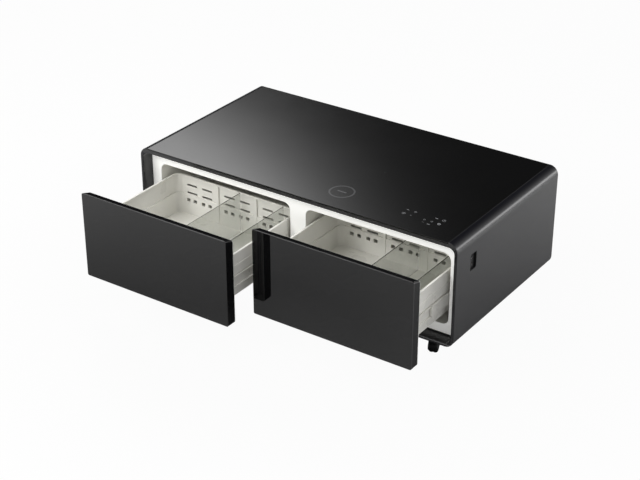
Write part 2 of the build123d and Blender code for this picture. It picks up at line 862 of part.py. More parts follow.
# Compressor: a welded pot on a base plate, with a terminal box and two stubs
compressor_place_share = -0.66
compressor_x = compressor_place_share * half_width
compressor_radius = 54.0
compressor_height = 128.0
compressor_fillet = 24.0
compressor_seam = 2.5
compressor_seam_height = 6.0
compressor_base_length = 152.0
compressor_base_width = 118.0
compressor_base_thick = 3.0
compressor_base_corner = 14.0
compressor_stub_reach = 14.0
terminal_width = 46.0
terminal_height = 56.0
terminal_reach = 22.0
mount_radius = 10.0
mount_height = 12.0
mount_hole_radius = 3.2
mount_inset = 13.0
base_z = floor_z + mount_height
pot_z = base_z + compressor_base_thick
stub_z = pot_z + compressor_height * 3 / 4
mount_pitch_x = compressor_base_length - 2 * mount_inset
mount_pitch_y = compressor_base_width - 2 * mount_inset
with BuildPart() as compressor:
    with BuildSketch(Plane.XY.offset(base_z)):
        with Locations((compressor_x, machine_y)):
            RectangleRounded(
                compressor_base_length, compressor_base_width, compressor_base_corner
            )
            with GridLocations(mount_pitch_x, mount_pitch_y, 2, 2):
                Circle(mount_hole_radius, mode=Mode.SUBTRACT)
    extrude(amount=compressor_base_thick)
    with BuildSketch(Plane.XY.offset(pot_z)):
        with Locations((compressor_x, machine_y)):
            Circle(compressor_radius)
    extrude(amount=compressor_height)
    fillet(compressor.faces().sort_by(Axis.Z)[-1].edges(), radius=compressor_fillet)
    with BuildSketch(Plane.XY.offset(pot_z + compressor_height / 2)):
        with Locations((compressor_x, machine_y)):
            Circle(compressor_radius + compressor_seam)
    extrude(amount=compressor_seam_height)
    block(
        (
            compressor_x - compressor_radius - terminal_reach,
            machine_y - terminal_width / 2,
            pot_z,
        ),
        (compressor_x - compressor_radius / 2, machine_y + terminal_width / 2, pot_z + terminal_height),
    )
    with BuildSketch(side_plane(compressor_x)):
        with Locations((machine_y - mount_inset, stub_z), (machine_y + mount_inset, stub_z)):
            Circle(tube_radius)
    extrude(amount=compressor_radius + compressor_stub_reach)
keep(compressor, "compressor")

with BuildPart() as compressor_mounts:
    with BuildSketch(Plane.XY.offset(floor_z)):
        with Locations((compressor_x, machine_y)):
            with GridLocations(mount_pitch_x, mount_pitch_y, 2, 2):
                Circle(mount_radius)
                Circle(mount_hole_radius, mode=Mode.SUBTRACT)
    extrude(amount=mount_height)
keep(compressor_mounts, "compressor_mounts")

# Condenser: a flat tube folded into passes, with fins between the passes
condenser_place_share = -0.357
condenser_x = condenser_place_share * half_width
condenser_thick = 24.0
condenser_passes = 7
condenser_pitch = 17.0
condenser_half = 46.0
condenser_tube = 3.0
condenser_bend = 8.0
condenser_fin = 0.8
condenser_fin_pitch = 7.0
condenser_fin_columns = 11
condenser_foot = 8.0
condenser_low_z = floor_z + condenser_foot
condenser_high_z = condenser_low_z + condenser_pitch * (condenser_passes - 1)
condenser_mid_z = (condenser_low_z + condenser_high_z) / 2
with BuildPart() as condenser:
    points = []
    for run in range(condenser_passes):
        z = condenser_low_z + run * condenser_pitch
        direction = 1 if run % 2 == 0 else -1
        points.append((condenser_x, machine_y - direction * condenser_half, z))
        points.append((condenser_x, machine_y + direction * condenser_half, z))
    with BuildLine():
        FilletPolyline(*points, radius=condenser_bend)
    with BuildSketch(Plane(origin=points[0], x_dir=(1, 0, 0), z_dir=(0, 1, 0))):
        Rectangle(condenser_thick, condenser_tube)
    sweep()
    with BuildSketch(side_plane(condenser_x - condenser_thick / 2)):
        with Locations((machine_y, condenser_mid_z)):
            with GridLocations(
                condenser_fin_pitch, condenser_pitch, condenser_fin_columns, condenser_passes - 1
            ):
                Rectangle(condenser_fin, condenser_pitch - condenser_tube / 2)
    extrude(amount=condenser_thick)
    for direction in (-1, 1):
        foot_y = machine_y + direction * condenser_half / 2
        block(
            (condenser_x - condenser_thick / 2, foot_y - condenser_foot, floor_z),
            (condenser_x + condenser_thick / 2, foot_y + condenser_foot, condenser_low_z),
        )
keep(condenser, "condenser")

# Condenser fan, which blows across the condenser and the compressor
condenser_fan_size = 120.0
condenser_fan_depth = 25.0
condenser_fan_gap = 6.0
condenser_fan_x = condenser_x + condenser_thick / 2 + condenser_fan_gap
condenser_seat = Plane(
    origin=(condenser_fan_x, machine_y, floor_z + condenser_fan_size / 2),
    x_dir=(0, 1, 0),
    z_dir=(1, 0, 0),
)
keep(fan_frame(condenser_seat, condenser_fan_size, condenser_fan_depth), "condenser_fan_frame")
keep(fan_rotor(condenser_seat, condenser_fan_size, condenser_fan_depth), "condenser_fan_rotor")

# Refrigerant lines: four pipes and the drier that one of them carries
line_radius = 2.5
line_bend = 10.0
line_plane_y = foam_back_y + tube_stub + 2 * line_bend
drier_radius = 9.0
drier_length = 70.0
drier_neck = 8.0
stub_x = compressor_x + compressor_radius + compressor_stub_reach
stub_near_y = machine_y - mount_inset
stub_far_y = machine_y + mount_inset
condenser_out_x = condenser_x - condenser_thick / 2
high_line_z = ceiling_z - boss_size - 2 * line_bend
left_x = tube_end_x(-1)
right_x = tube_end_x(1)
line_lane = 3 * line_bend
drier_z = opening_z
suction_route = [
    (right_x, tube_end_y, run_high_z),
    (right_x, line_plane_y, run_high_z),
    (right_x, line_plane_y, high_line_z),
    (stub_x + 2 * line_lane, line_plane_y, high_line_z),
    (stub_x + 2 * line_lane, stub_near_y, high_line_z),
    (stub_x + 2 * line_lane, stub_near_y, stub_z),
    (stub_x, stub_near_y, stub_z),
]
link_route = [
    (left_x, tube_end_y, run_high_z),
    (left_x, line_plane_y, run_high_z),
    (0, line_plane_y, run_high_z),
    (0, line_plane_y, run_low_z),
    (right_x, line_plane_y, run_low_z),
    (right_x, tube_end_y, run_low_z),
]
discharge_route = [
    (stub_x, stub_far_y, stub_z),
    (stub_x + line_lane, stub_far_y, stub_z),
    (stub_x + line_lane, stub_far_y, condenser_high_z + 2 * line_lane),
    (condenser_x, stub_far_y, condenser_high_z + 2 * line_lane),
    (condenser_x, stub_far_y, condenser_high_z + condenser_tube / 2),
]
liquid_x = condenser_out_x - line_lane
drier_low_z = drier_z - drier_length / 2
drier_high_z = drier_z + drier_length / 2
liquid_route = [
    (condenser_out_x, line_plane_y, condenser_low_z),
    (liquid_x, line_plane_y, condenser_low_z),
    (liquid_x, line_plane_y, drier_low_z),
]
capillary_route = [
    (liquid_x, line_plane_y, drier_high_z),
    (liquid_x, line_plane_y, drier_high_z + line_lane),
    (left_x - line_lane, line_plane_y, drier_high_z + line_lane),
    (left_x - line_lane, line_plane_y, run_low_z),
    (left_x, line_plane_y, run_low_z),
    (left_x, tube_end_y, run_low_z),
]


def pipe(route):
    """A pipe with bends of one radius, added to the part that is being built."""
    with BuildLine() as path:
        FilletPolyline(*route, radius=line_bend)
    start = Vector(*route[0])
    along = Vector(*route[1]) - start
    with BuildSketch(Plane(origin=start, z_dir=along)) as section:
        Circle(line_radius)
    sweep(section.sketch, path=path.line)


pipes = []
for route in (suction_route, link_route, discharge_route, liquid_route, capillary_route):
    with BuildPart() as line:
        pipe(route)
    pipes.append(line.part)
with BuildPart() as drier:
    with BuildSketch(Plane.XY.offset(drier_low_z)):
        with Locations((liquid_x, line_plane_y)):
            Circle(drier_radius)
    extrude(amount=drier_length)
    chamfer(drier.edges(), length=drier_neck / 2)
refrigerant_lines = Compound(children=[*pipes, drier.part])
refrigerant_lines.label = "refrigerant_lines"
export_step(refrigerant_lines, "parts/refrigerant_lines.step")

# Drain pan: an open tray on the floor that the warm air dries
pan_place_share = 0.092
pan_x = pan_place_share * half_width
pan_length = 170.0
pan_width = 104.0
pan_height = 26.0
pan_wall = 2.0
pan_corner = 10.0
with BuildPart() as drain_pan:
    with BuildSketch(Plane.XY.offset(floor_z)):
        with Locations((pan_x, machine_y)):
            RectangleRounded(pan_length, pan_width, pan_corner)
    extrude(amount=pan_height)
    with BuildSketch(Plane.XY.offset(floor_z + pan_wall)):
        with Locations((pan_x, machine_y)):
            RectangleRounded(
                pan_length - 2 * pan_wall, pan_width - 2 * pan_wall, pan_corner - pan_wall
            )
    extrude(amount=pan_height, mode=Mode.SUBTRACT)
keep(drain_pan, "drain_pan")

# Power supply: a vented metal box on the floor
supply_place_share = 0.462
supply_x = supply_place_share * half_width
supply_length = 150.0
supply_width = 92.0
supply_height = 44.0
supply_corner = 2.0
supply_slot_length = 34.0
supply_slot_width = 3.0
supply_slot_pitch = 8.0
supply_slot_count = 12
supply_slot_depth = 1.5
with BuildPart() as power_supply:
    with BuildSketch(Plane.XY.offset(floor_z)):
        with Locations((supply_x, machine_y)):
            RectangleRounded(supply_length, supply_width, supply_corner)
    extrude(amount=supply_height)
    with BuildSketch(Plane.XY.offset(floor_z + supply_height)):
        with Locations((supply_x, machine_y)):
            with GridLocations(supply_slot_pitch, supply_width / 2, supply_slot_count, 2):
                SlotOverall(supply_slot_length, supply_slot_width, rotation=90)
    extrude(amount=-supply_slot_depth, mode=Mode.SUBTRACT)
keep(power_supply, "power_supply")

# Control board: a circuit board on posts, on the back of the foam
board_place_share = 0.646
board_x = board_place_share * half_width
board_z = opening_z
board_length = 190.0
board_height = 120.0
board_thick = 1.6
board_post_radius = 3.0
board_post_length = 9.0
board_post_inset = 8.0
board_relay = 16.0
board_relay_height = 15.0
board_relay_pitch = 26.0
board_relay_count = 4
board_can_radius = 8.0
board_can_height = 24.0
board_face_y = foam_back_y + board_post_length + board_thick
with BuildPart() as control_board:
    with BuildSketch(front_plane(foam_back_y, board_x, board_z)):
        with GridLocations(
            board_length - 2 * board_post_inset, board_height - 2 * board_post_inset, 2, 2
        ):
            Circle(board_post_radius)
    extrude(amount=-board_post_length)
    with BuildSketch(front_plane(foam_back_y + board_post_length, board_x, board_z)):
        RectangleRounded(board_length, board_height, board_post_radius)
    extrude(amount=-board_thick)
    with BuildSketch(front_plane(board_face_y, board_x, board_z)):
        with Locations((0, board_height / 4)):
            with GridLocations(board_relay_pitch, 0, board_relay_count, 1):
                Rectangle(board_relay, board_relay)
    extrude(amount=-board_relay_height)
    with BuildSketch(front_plane(board_face_y, board_x, board_z)):
        with Locations((board_length / 4, -board_height / 5), (0, -board_height / 5)):
            Circle(board_can_radius)
    extrude(amount=-board_can_height)
keep(control_board, "control_board")

# Power inlet: a flanged socket through the back panel
inlet_place_share = 0.83
inlet_rise = 52.0
inlet_x = inlet_place_share * half_width
inlet_z = floor_z + inlet_rise
inlet_width = 28.0
inlet_height = 21.0
inlet_corner = 4.0
inlet_flange_width = 50.0
inlet_flange_height = 24.0
inlet_flange_thick = 2.0
inlet_depth = 26.0
inlet_well_wall = 2.5
inlet_well_depth = 18.0
inlet_pin_width = 4.0
inlet_pin_thick = 2.0
inlet_pin_pitch = 7.0
inlet_pin_drop = 3.5
panel_face_y = panel_seat_y + panel_thick
with BuildPart() as power_inlet:
    with BuildSketch(front_plane(panel_face_y, inlet_x, inlet_z)):
        RectangleRounded(inlet_flange_width, inlet_flange_height, inlet_corner)
    extrude(amount=-inlet_flange_thick)
    with BuildSketch(front_plane(panel_face_y, inlet_x, inlet_z)):
        RectangleRounded(inlet_width, inlet_height, inlet_corner)
    extrude(amount=inlet_depth)
    with BuildSketch(front_plane(panel_face_y + inlet_flange_thick, inlet_x, inlet_z)):
        RectangleRounded(
            inlet_width - 2 * inlet_well_wall,
            inlet_height - 2 * inlet_well_wall,
            inlet_corner - inlet_well_wall,
        )
    extrude(amount=inlet_well_depth, mode=Mode.SUBTRACT)
    well_floor_y = panel_face_y + inlet_flange_thick - inlet_well_depth
    with BuildSketch(front_plane(well_floor_y, inlet_x, inlet_z)):
        with Locations((0, inlet_pin_drop)):
            Rectangle(inlet_pin_thick, inlet_pin_width)
        with Locations((-inlet_pin_pitch, -inlet_pin_drop), (inlet_pin_pitch, -inlet_pin_drop)):
            Rectangle(inlet_pin_thick, inlet_pin_width)
    extrude(amount=-inlet_well_depth * 3 / 4)
keep(power_inlet, "power_inlet")

# Back panel: a slotted sheet screwed to the shell's bosses
panel_slot_length = 60.0
panel_slot_width = 5.0
panel_slot_pitch_x = 74.0
panel_slot_pitch_z = 12.0
panel_slot_columns = 2
panel_slot_rows = 12
vent_field_places = (compressor_x, condenser_x + condenser_fan_size / 2, -compressor_x)
with BuildPart() as back_panel:
    with BuildSketch(front_plane(panel_seat_y)):
        with Locations((0, cavity_z)):
            RectangleRounded(
                2 * (cavity_half - running_gap),
                cavity_height - 2 * running_gap,
                cavity_radius - running_gap,
            )
        with Locations(*boss_places):
            Circle(screw_hole_radius, mode=Mode.SUBTRACT)
        with Locations((inlet_x, inlet_z)):
            RectangleRounded(
                inlet_width + 2 * fit_gap, inlet_height + 2 * fit_gap, inlet_corner, mode=Mode.SUBTRACT
            )
        for field_x in vent_field_places:
            with Locations((field_x, cavity_z)):
                with GridLocations(
                    panel_slot_pitch_x, panel_slot_pitch_z, panel_slot_columns, panel_slot_rows
                ):
                    SlotOverall(panel_slot_length, panel_slot_width, mode=Mode.SUBTRACT)
    extrude(amount=-panel_thick)
keep(back_panel, "back_panel")


def screw(seat):
    """A pan head screw: the head stands on the seat plane and the shank goes in."""
    with BuildPart() as body:
        with BuildSketch(seat):
            Circle(screw_head_radius)
        extrude(amount=screw_head_height)
        top = body.faces().sort_by(Axis(seat.origin, seat.z_dir))[-1]
        chamfer(top.edges(), length=screw_head_height / 4)
        with BuildSketch(seat):
            Circle(screw_radius)
        extrude(amount=-screw_length)
        with BuildSketch(seat.offset(screw_head_height)):
            Rectangle(screw_head_radius, screw_drive_width)
            Rectangle(screw_drive_width, screw_head_radius)
        extrude(amount=-screw_drive_depth, mode=Mode.SUBTRACT)
    return body.part


# Casters: plate and pin, swivelling hood, and a pair of wheels on an axle.
# All of them trail the same way, as after a short roll.
wheel_radius = 25.0
wheel_width = 13.0
wheel_gap = 5.0
wheel_shoulder = 7.0
wheel_edge = 1.5
wheel_dish_radius = 15.0
wheel_dish_depth = 2.0
axle_radius = 3.0
axle_fit = 0.05
caster_trail = 16.0
caster_turn = 18.0
hood_gap = 1.6
hood_thick = 2.2
hood_overhang = 1.5
hood_web = 3.4
hood_web_low = 14.0
hood_skirt_low = 19.0
barrel_radius = 12.0
barrel_length = 28.0
pin_radius = 5.0
pin_length = 15.0
hood_radius = wheel_radius + hood_gap + hood_thick
hood_top_z = caster_plate_z - running_gap
hood_half = wheel_gap / 2 + wheel_width + hood_overhang
wheel_room_radius = hood_radius - hood_thick


def caster_plate(x, y):
    with BuildPart() as plate:
        with BuildSketch(Plane(origin=(x, y, caster_plate_z))):
            RectangleRounded(caster_plate_size, caster_plate_size, caster_plate_corner)
            with GridLocations(caster_screw_pitch, caster_screw_pitch, 2, 2):
                Circle(screw_hole_radius, mode=Mode.SUBTRACT)
        extrude(amount=caster_plate_thick)
        with BuildSketch(Plane(origin=(x, y, caster_plate_z))):
            Circle(pin_radius)
        extrude(amount=-pin_length)
    return plate.part


def caster_hood():
    """A cover over both wheels, a web between them and a barrel round the pin.

    The pin stands at the origin and the wheels trail towards the back.
    """
    reach = 2 * hood_radius
    with BuildPart() as hood:
        with BuildSketch(side_plane(-hood_half)):
            with Locations((caster_trail, wheel_radius)):
                Circle(hood_radius)
        extrude(amount=2 * hood_half)
        with BuildSketch(Plane.XY.offset(hood_top_z)):
            Circle(barrel_radius)
        extrude(amount=-barrel_length)
        for direction in (-1, 1):
            room_x = direction * (hood_web + hood_half) / 2
            with Locations((room_x, caster_trail, wheel_radius)):
                Cylinder(wheel_room_radius, hood_half, rotation=(0, 90, 0), mode=Mode.SUBTRACT)
            low_x, high_x = sorted((direction * hood_web / 2, direction * reach))
            block(
                (low_x, -reach, -reach),
                (high_x, 2 * reach, hood_skirt_low),
                mode=Mode.SUBTRACT,
            )
        block((-reach, -reach, -reach), (reach, 2 * reach, hood_web_low), mode=Mode.SUBTRACT)
        with Locations((0, caster_trail, wheel_radius)):
            Cylinder(
                axle_radius + running_gap, 4 * hood_web, rotation=(0, 90, 0), mode=Mode.SUBTRACT
            )
        with BuildSketch(Plane.XY.offset(hood_top_z)):
            Circle(pin_radius + running_gap)
        extrude(amount=-pin_length, mode=Mode.SUBTRACT)
    return hood.part


def caster_wheels():
    """Two wheels and their axle, in the same place as the hood above."""
    with BuildPart() as wheels:
        for direction in (-1, 1):
            wheel_x = direction * (wheel_gap + wheel_width) / 2
            with Locations((wheel_x, caster_trail, wheel_radius)):
                Cylinder(wheel_radius, wheel_width, rotation=(0, 90, 0))
        rims = wheels.edges().filter_by(GeomType.CIRCLE).sort_by(Axis.X)
        fillet([rims[0], rims[-1]], radius=wheel_shoulder)
        rims = wheels.faces().filter_by(Axis.X).sort_by(Axis.X)[1:-1].edges()
        fillet(rims, radius=wheel_edge)
        for direction in (-1, 1):
            dish_x = direction * (wheel_gap / 2 + wheel_width - wheel_dish_depth / 2)
            with Locations((dish_x, caster_trail, wheel_radius)):
                Cylinder(
                    wheel_dish_radius, wheel_dish_depth, rotation=(0, 90, 0), mode=Mode.SUBTRACT
                )
        with Locations((0, caster_trail, wheel_radius)):
            Cylinder(
                axle_radius + axle_fit, 4 * wheel_width, rotation=(0, 90, 0), mode=Mode.SUBTRACT
            )
    with BuildPart() as axle:
        with Locations((0, caster_trail, wheel_radius)):
            Cylinder(
                axle_radius,
                wheel_gap + 2 * (wheel_width - wheel_dish_depth),
                rotation=(0, 90, 0),
            )
    return [*wheels.solids(), *axle.solids()]


plates = Compound(children=[caster_plate(x, y) for name, x, y in caster_places])
plates.label = "caster_plates"
export_step(plates, "parts/caster_plates.step")

for name, x, y in caster_places:
    place = Location((x, y, 0), (0, 0, caster_turn))
    hood = caster_hood().moved(place)
    hood.label = f"{name}_caster_hood"
    export_step(hood, f"parts/{name}_caster_hood.step")
    wheels = Compound(children=[solid.moved(place) for solid in caster_wheels()])
    wheels.label = f"{name}_caster_wheels"
    export_step(wheels, f"parts/{name}_caster_wheels.step")

screws = []
for name, x, y in caster_places:
    for spot in GridLocations(caster_screw_pitch, caster_screw_pitch, 2, 2).local_locations:
        place = spot.position
        screws.append(
            screw(
                Plane(
                    origin=(x + place.X, y + place.Y, caster_plate_z),
                    x_dir=(1, 0, 0),
                    z_dir=(0, 0, -1),
                )
            )
        )
for x, z in boss_places:
    screws.append(screw(Plane(origin=(x, panel_face_y, z), x_dir=(1, 0, 0), z_dir=(0, 1, 0))))
cabinet_screws = Compound(children=screws)
cabinet_screws.label = "cabinet_screws"
export_step(cabinet_screws, "parts/cabinet_screws.step")
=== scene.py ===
import math

import bmesh
import bpy
from mathutils import Matrix, Vector


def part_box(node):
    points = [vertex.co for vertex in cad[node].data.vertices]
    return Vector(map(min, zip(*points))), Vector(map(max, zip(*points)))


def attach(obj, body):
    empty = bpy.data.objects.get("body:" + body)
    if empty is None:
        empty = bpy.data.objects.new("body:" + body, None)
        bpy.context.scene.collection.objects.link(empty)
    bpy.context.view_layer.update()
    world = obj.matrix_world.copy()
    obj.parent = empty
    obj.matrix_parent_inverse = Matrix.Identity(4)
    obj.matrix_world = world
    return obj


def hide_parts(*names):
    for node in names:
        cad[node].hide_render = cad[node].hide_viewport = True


# Looks for a low glass-topped table with two chilled drawers that stand open.
# Metres, in the frame of the solid model. Most places are read from the boxes of the solid
# parts. Those of the touch marks and the louvres are given here.

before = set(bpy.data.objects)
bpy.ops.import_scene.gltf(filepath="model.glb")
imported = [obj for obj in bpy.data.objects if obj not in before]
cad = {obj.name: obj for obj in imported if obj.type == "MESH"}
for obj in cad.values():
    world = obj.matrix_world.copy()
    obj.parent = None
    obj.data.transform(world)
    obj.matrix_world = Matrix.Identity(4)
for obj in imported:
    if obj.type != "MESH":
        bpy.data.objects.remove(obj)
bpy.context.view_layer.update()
sides = ("left", "right")
ends = ("front", "rear")

# Points of a new piece that lie closer than this are welded into one
weld = 0.000002
# How far a thin added piece stands off or sinks in, so that no two faces lie in one plane
hair = 0.0002


def middle(node):
    """The middle of a solid part's box."""
    low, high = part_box(node)
    return (low + high) / 2


# Small tools for materials


def put(tree, kind, inputs=None, **settings):
    """Adds a node. An input is a plain value, or the output of another node."""
    node = tree.nodes.new(kind)
    for name, value in settings.items():
        setattr(node, name, value)
    for key, value in (inputs or {}).items():
        if isinstance(value, bpy.types.NodeSocket):
            tree.links.new(value, node.inputs[key])
        else:
            node.inputs[key].default_value = value
    return node


def sum_up(tree, operation, first, second=0.0, third=0.0):
    """Joins numbers by one operation of a math node, and gives the result."""
    inputs = {0: first, 1: second, 2: third}
    return put(tree, "ShaderNodeMath", inputs, operation=operation).outputs[0]


def on_vectors(tree, operation, first, second):
    """A node that works on two vectors."""
    return put(tree, "ShaderNodeVectorMath", {0: first, 1: second}, operation=operation)


def split(tree, vector):
    """The X, Y and Z of a vector."""
    return put(tree, "ShaderNodeSeparateXYZ", {0: vector}).outputs


def noise(tree, place, scale, detail):
    """A cloudy value between nothing and one."""
    inputs = {"Vector": place, "Scale": scale, "Detail": detail}
    return put(tree, "ShaderNodeTexNoise", inputs).outputs["Fac"]


def spread(tree, value, low, high):
    """Turns the middle of a noise into the range from low to high."""
    inputs = {"Value": value, "From Min": 0.3, "From Max": 0.7, "To Min": low, "To Max": high}
    return put(tree, "ShaderNodeMapRange", inputs).outputs["Result"]


def waves(tree, value, pitch):
    """Waves of a length along a value."""
    return sum_up(tree, "SINE", sum_up(tree, "MULTIPLY", value, math.tau / pitch))


def blend_tone(tree, share, first, second):
    """Mixes two colours by a share."""
    node = put(tree, "ShaderNodeMix", data_type="RGBA")
    sockets = (node.inputs[0], node.inputs[6], node.inputs[7])
    for socket, value in zip(sockets, (share, first, second)):
        if isinstance(value, bpy.types.NodeSocket):
            tree.links.new(value, socket)
        else:
            socket.default_value = value
    return node.outputs[2]


def new_effect(name, inputs, outputs):
    """Starts a group of nodes, and gives its tree, its inputs and its end."""
    group = bpy.data.node_groups.new(name, "ShaderNodeTree")
    for label, kind in inputs:
        group.interface.new_socket(label, in_out="INPUT", socket_type="NodeSocket" + kind)
    for label, kind in outputs:
        group.interface.new_socket(label, in_out="OUTPUT", socket_type="NodeSocket" + kind)
    return group, group.nodes.new("NodeGroupInput").outputs, group.nodes.new("NodeGroupOutput")


def use(tree, group, **inputs):
    """Places a group of nodes in a material."""
    node = tree.nodes.new("ShaderNodeGroup")
    node.node_tree = group
    for label, value in inputs.items():
        socket = node.inputs[label.replace("_", " ")]
        if isinstance(value, bpy.types.NodeSocket):
            tree.links.new(value, socket)
        else:
            socket.default_value = value
    return node.outputs


# Effects that many materials share

drifting_tone, given, end = new_effect(
    "drifting_tone",
    [("Place", "Vector"), ("First", "Color"), ("Second", "Color"), ("Scale", "Float")],
    [("Color", "Color")],
)
clouds = noise(drifting_tone, given["Place"], given["Scale"], 3.0)
share = spread(drifting_tone, clouds, 0.0, 1.0)
drifted = blend_tone(drifting_tone, share, given["First"], given["Second"])
drifting_tone.links.new(drifted, end.inputs["Color"])

handled_gloss, given, end = new_effect(
    "handled_gloss",
    [("Place", "Vector"), ("Low", "Float"), ("High", "Float"), ("Scale", "Float")],
    [("Roughness", "Float")],
)
smears = noise(handled_gloss, given["Place"], given["Scale"], 5.0)
uneven = spread(handled_gloss, smears, given["Low"], given["High"])
handled_gloss.links.new(uneven, end.inputs["Roughness"])

fine_grain, given, end = new_effect(
    "fine_grain", [("Place", "Vector"), ("Scale", "Float")], [("Height", "Float")]
)
pits = noise(fine_grain, given["Place"], given["Scale"], 2.0)
fine_grain.links.new(pits, end.inputs["Height"])

drawn_lines, given, end = new_effect(
    "drawn_lines", [("Place", "Vector"), ("Stretch", "Vector")], [("Height", "Float")]
)
pulled = on_vectors(drawn_lines, "MULTIPLY", given["Place"], given["Stretch"]).outputs[0]
lines = noise(drawn_lines, pulled, 1.0, 4.0)
drawn_lines.links.new(lines, end.inputs["Height"])

printed_ring, given, end = new_effect(
    "printed_ring",
    [("Place", "Vector"), ("Middle", "Vector"), ("Radius", "Float"), ("Line", "Float")],
    [("Mask", "Float")],
)
away = on_vectors(printed_ring, "DISTANCE", given["Place"], given["Middle"]).outputs["Value"]
on_ring = sum_up(printed_ring, "COMPARE", away, given["Radius"], given["Line"])
printed_ring.links.new(on_ring, end.inputs["Mask"])

printed_block, given, end = new_effect(
    "printed_block",
    [("Place", "Vector"), ("Middle", "Vector"), ("Half", "Vector")],
    [("Mask", "Float")],
)
spot = split(printed_block, given["Place"])
centre = split(printed_block, given["Middle"])
half = split(printed_block, given["Half"])
inside = [sum_up(printed_block, "COMPARE", spot[k], centre[k], half[k]) for k in range(3)]
both = sum_up(printed_block, "MULTIPLY", inside[0], inside[1])
printed_block.links.new(sum_up(printed_block, "MULTIPLY", both, inside[2]), end.inputs["Mask"])


class Finish:
    """A material with its shader, and what most finishes on the table are made of."""

    def __init__(self, name, **fixed):
        self.material = bpy.data.materials.new(name)
        self.material.use_nodes = True
        self.tree = self.material.node_tree
        self.shader = self.tree.nodes["Principled BSDF"]
        self.place = put(self.tree, "ShaderNodeTexCoord").outputs["Object"]
        for label, value in fixed.items():
            self.shader.inputs[label.replace("_", " ")].default_value = value

    def join(self, output, label):
        """Leads an output into the shader."""
        self.tree.links.new(output, self.shader.inputs[label])

    def drift(self, first, second, scale):
        """Makes a colour that drifts between two, without using it yet."""
        colours = {"First": (*first, 1), "Second": (*second, 1)}
        return use(self.tree, drifting_tone, Place=self.place, Scale=scale, **colours)["Color"]

    def tone(self, first, second, scale):
        """A colour that drifts between two."""
        self.join(self.drift(first, second, scale), "Base Color")

    def gloss(self, low, high, scale):
        """An uneven gloss, as after wiping and handling."""
        handled = use(
            self.tree, handled_gloss, Place=self.place, Low=low, High=high, Scale=scale
        )
        self.join(handled["Roughness"], "Roughness")

    def dull_above(self, level, roughness):
        """Makes what lies above a height dull, as a ground edge is."""
        above = sum_up(self.tree, "GREATER_THAN", split(self.tree, self.place)["Z"], level)
        handled = self.shader.inputs["Roughness"].links[0].from_socket
        dull = sum_up(self.tree, "MULTIPLY", above, roughness)
        self.join(sum_up(self.tree, "MAXIMUM", handled, dull), "Roughness")

    def repaint(self, share, tone):
        """Paints another tone over a share of the piece."""
        painted = self.shader.inputs["Base Color"].links[0].from_socket
        self.join(blend_tone(self.tree, share, painted, (*tone, 1)), "Base Color")

    def mix_in(self, share, other):
        """Shows another shader for a share of the rays."""
        inputs = {0: share, 1: self.shader.outputs[0], 2: other.outputs[0]}
        mixed = put(self.tree, "ShaderNodeMixShader", inputs).outputs[0]
        self.tree.links.new(mixed, self.tree.nodes["Material Output"].inputs["Surface"])

    def relief(self, height, depth):
        """Bumps of a depth, from a height that runs from nothing to one."""
        inputs = {"Height": height, "Strength": 1.0, "Distance": depth}
        self.join(put(self.tree, "ShaderNodeBump", inputs).outputs["Normal"], "Normal")

    def grain(self, scale, depth):
        """Fine pits, as moulded and sprayed surfaces have."""
        self.relief(use(self.tree, fine_grain, Place=self.place, Scale=scale)["Height"], depth)

    def drawn(self, stretch, depth):
        """Fine lines along the direction whose stretch is smallest."""
        self.relief(use(self.tree, drawn_lines, Place=self.place, Stretch=stretch)["Height"], depth)


# How fine the drifting tone and the uneven gloss are, on mouldings and on metal
plain_tone_scale, plain_gloss_scale = 5.0, 9.0
metal_tone_scale, metal_gloss_scale = 14.0, 30.0


def plain_finish(name, first, second, gloss, grain, **fixed):
    """Paint, moulding or rubber: a drifting tone, an uneven gloss and a fine grain."""
    made = Finish(name, **fixed)
    made.tone(first, second, plain_tone_scale)
    made.gloss(*gloss, plain_gloss_scale)
    made.grain(*grain)
    return made


def metal_finish(name, first, second, gloss, stretch, depth, metallic=1.0, **fixed):
    """Rolled or drawn metal, bare or coated, with fine lines."""
    made = Finish(name, Metallic=metallic, **fixed)
    made.tone(first, second, metal_tone_scale)
    made.gloss(*gloss, metal_gloss_scale)
    made.drawn(stretch, depth)
    return made


# Finishes: paints and mouldings

shell_paint = plain_finish(
    "shell_paint",
    (0.0035, 0.0035, 0.0055),
    (0.0048, 0.0048, 0.0070),
    (0.17, 0.22),
    (420.0, 0.000004),
    Specular_IOR_Level=0.46,
)
# The shell's front face above the flange is painted paler: a painted highlight along its lip
front_skin = 0.0006
shell_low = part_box("outer_shell")[0]
flange_low, flange_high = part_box("front_flange")
shell_spot = split(shell_paint.tree, shell_paint.place)
at_front = sum_up(shell_paint.tree, "LESS_THAN", shell_spot["Y"], shell_low.y + front_skin)
above_flange = sum_up(shell_paint.tree, "GREATER_THAN", shell_spot["Z"], flange_high.z)
shell_paint.repaint(
    sum_up(shell_paint.tree, "MULTIPLY", at_front, above_flange), (0.028, 0.028, 0.029)
)
# A painted highlight along the upper edge of the lip below the drawers. The band lies between two
# depths below the flange.
band_top, band_foot = 0.0008, 0.0042
above_edge = sum_up(shell_paint.tree, "GREATER_THAN", shell_spot["Z"], flange_low.z - band_foot)
below_edge = sum_up(shell_paint.tree, "LESS_THAN", shell_spot["Z"], flange_low.z - band_top)
edge_highlight_band = sum_up(shell_paint.tree, "MULTIPLY", above_edge, below_edge)
shell_paint.repaint(
    sum_up(shell_paint.tree, "MULTIPLY", at_front, edge_highlight_band), (0.19, 0.19, 0.195)
)
case_paint = plain_finish(
    "case_paint",
    (0.004, 0.004, 0.0045),
    (0.006, 0.006, 0.0065),
    (0.2, 0.27),
    (500.0, 0.000005),
    Specular_IOR_Level=0.15,
)
grip_rubber = plain_finish(
    "grip_rubber",
    (0.005, 0.005, 0.0055),
    (0.008, 0.008, 0.0085),
    (0.55, 0.65),
    (1300.0, 0.00002),
    Specular_IOR_Level=0.0,
)
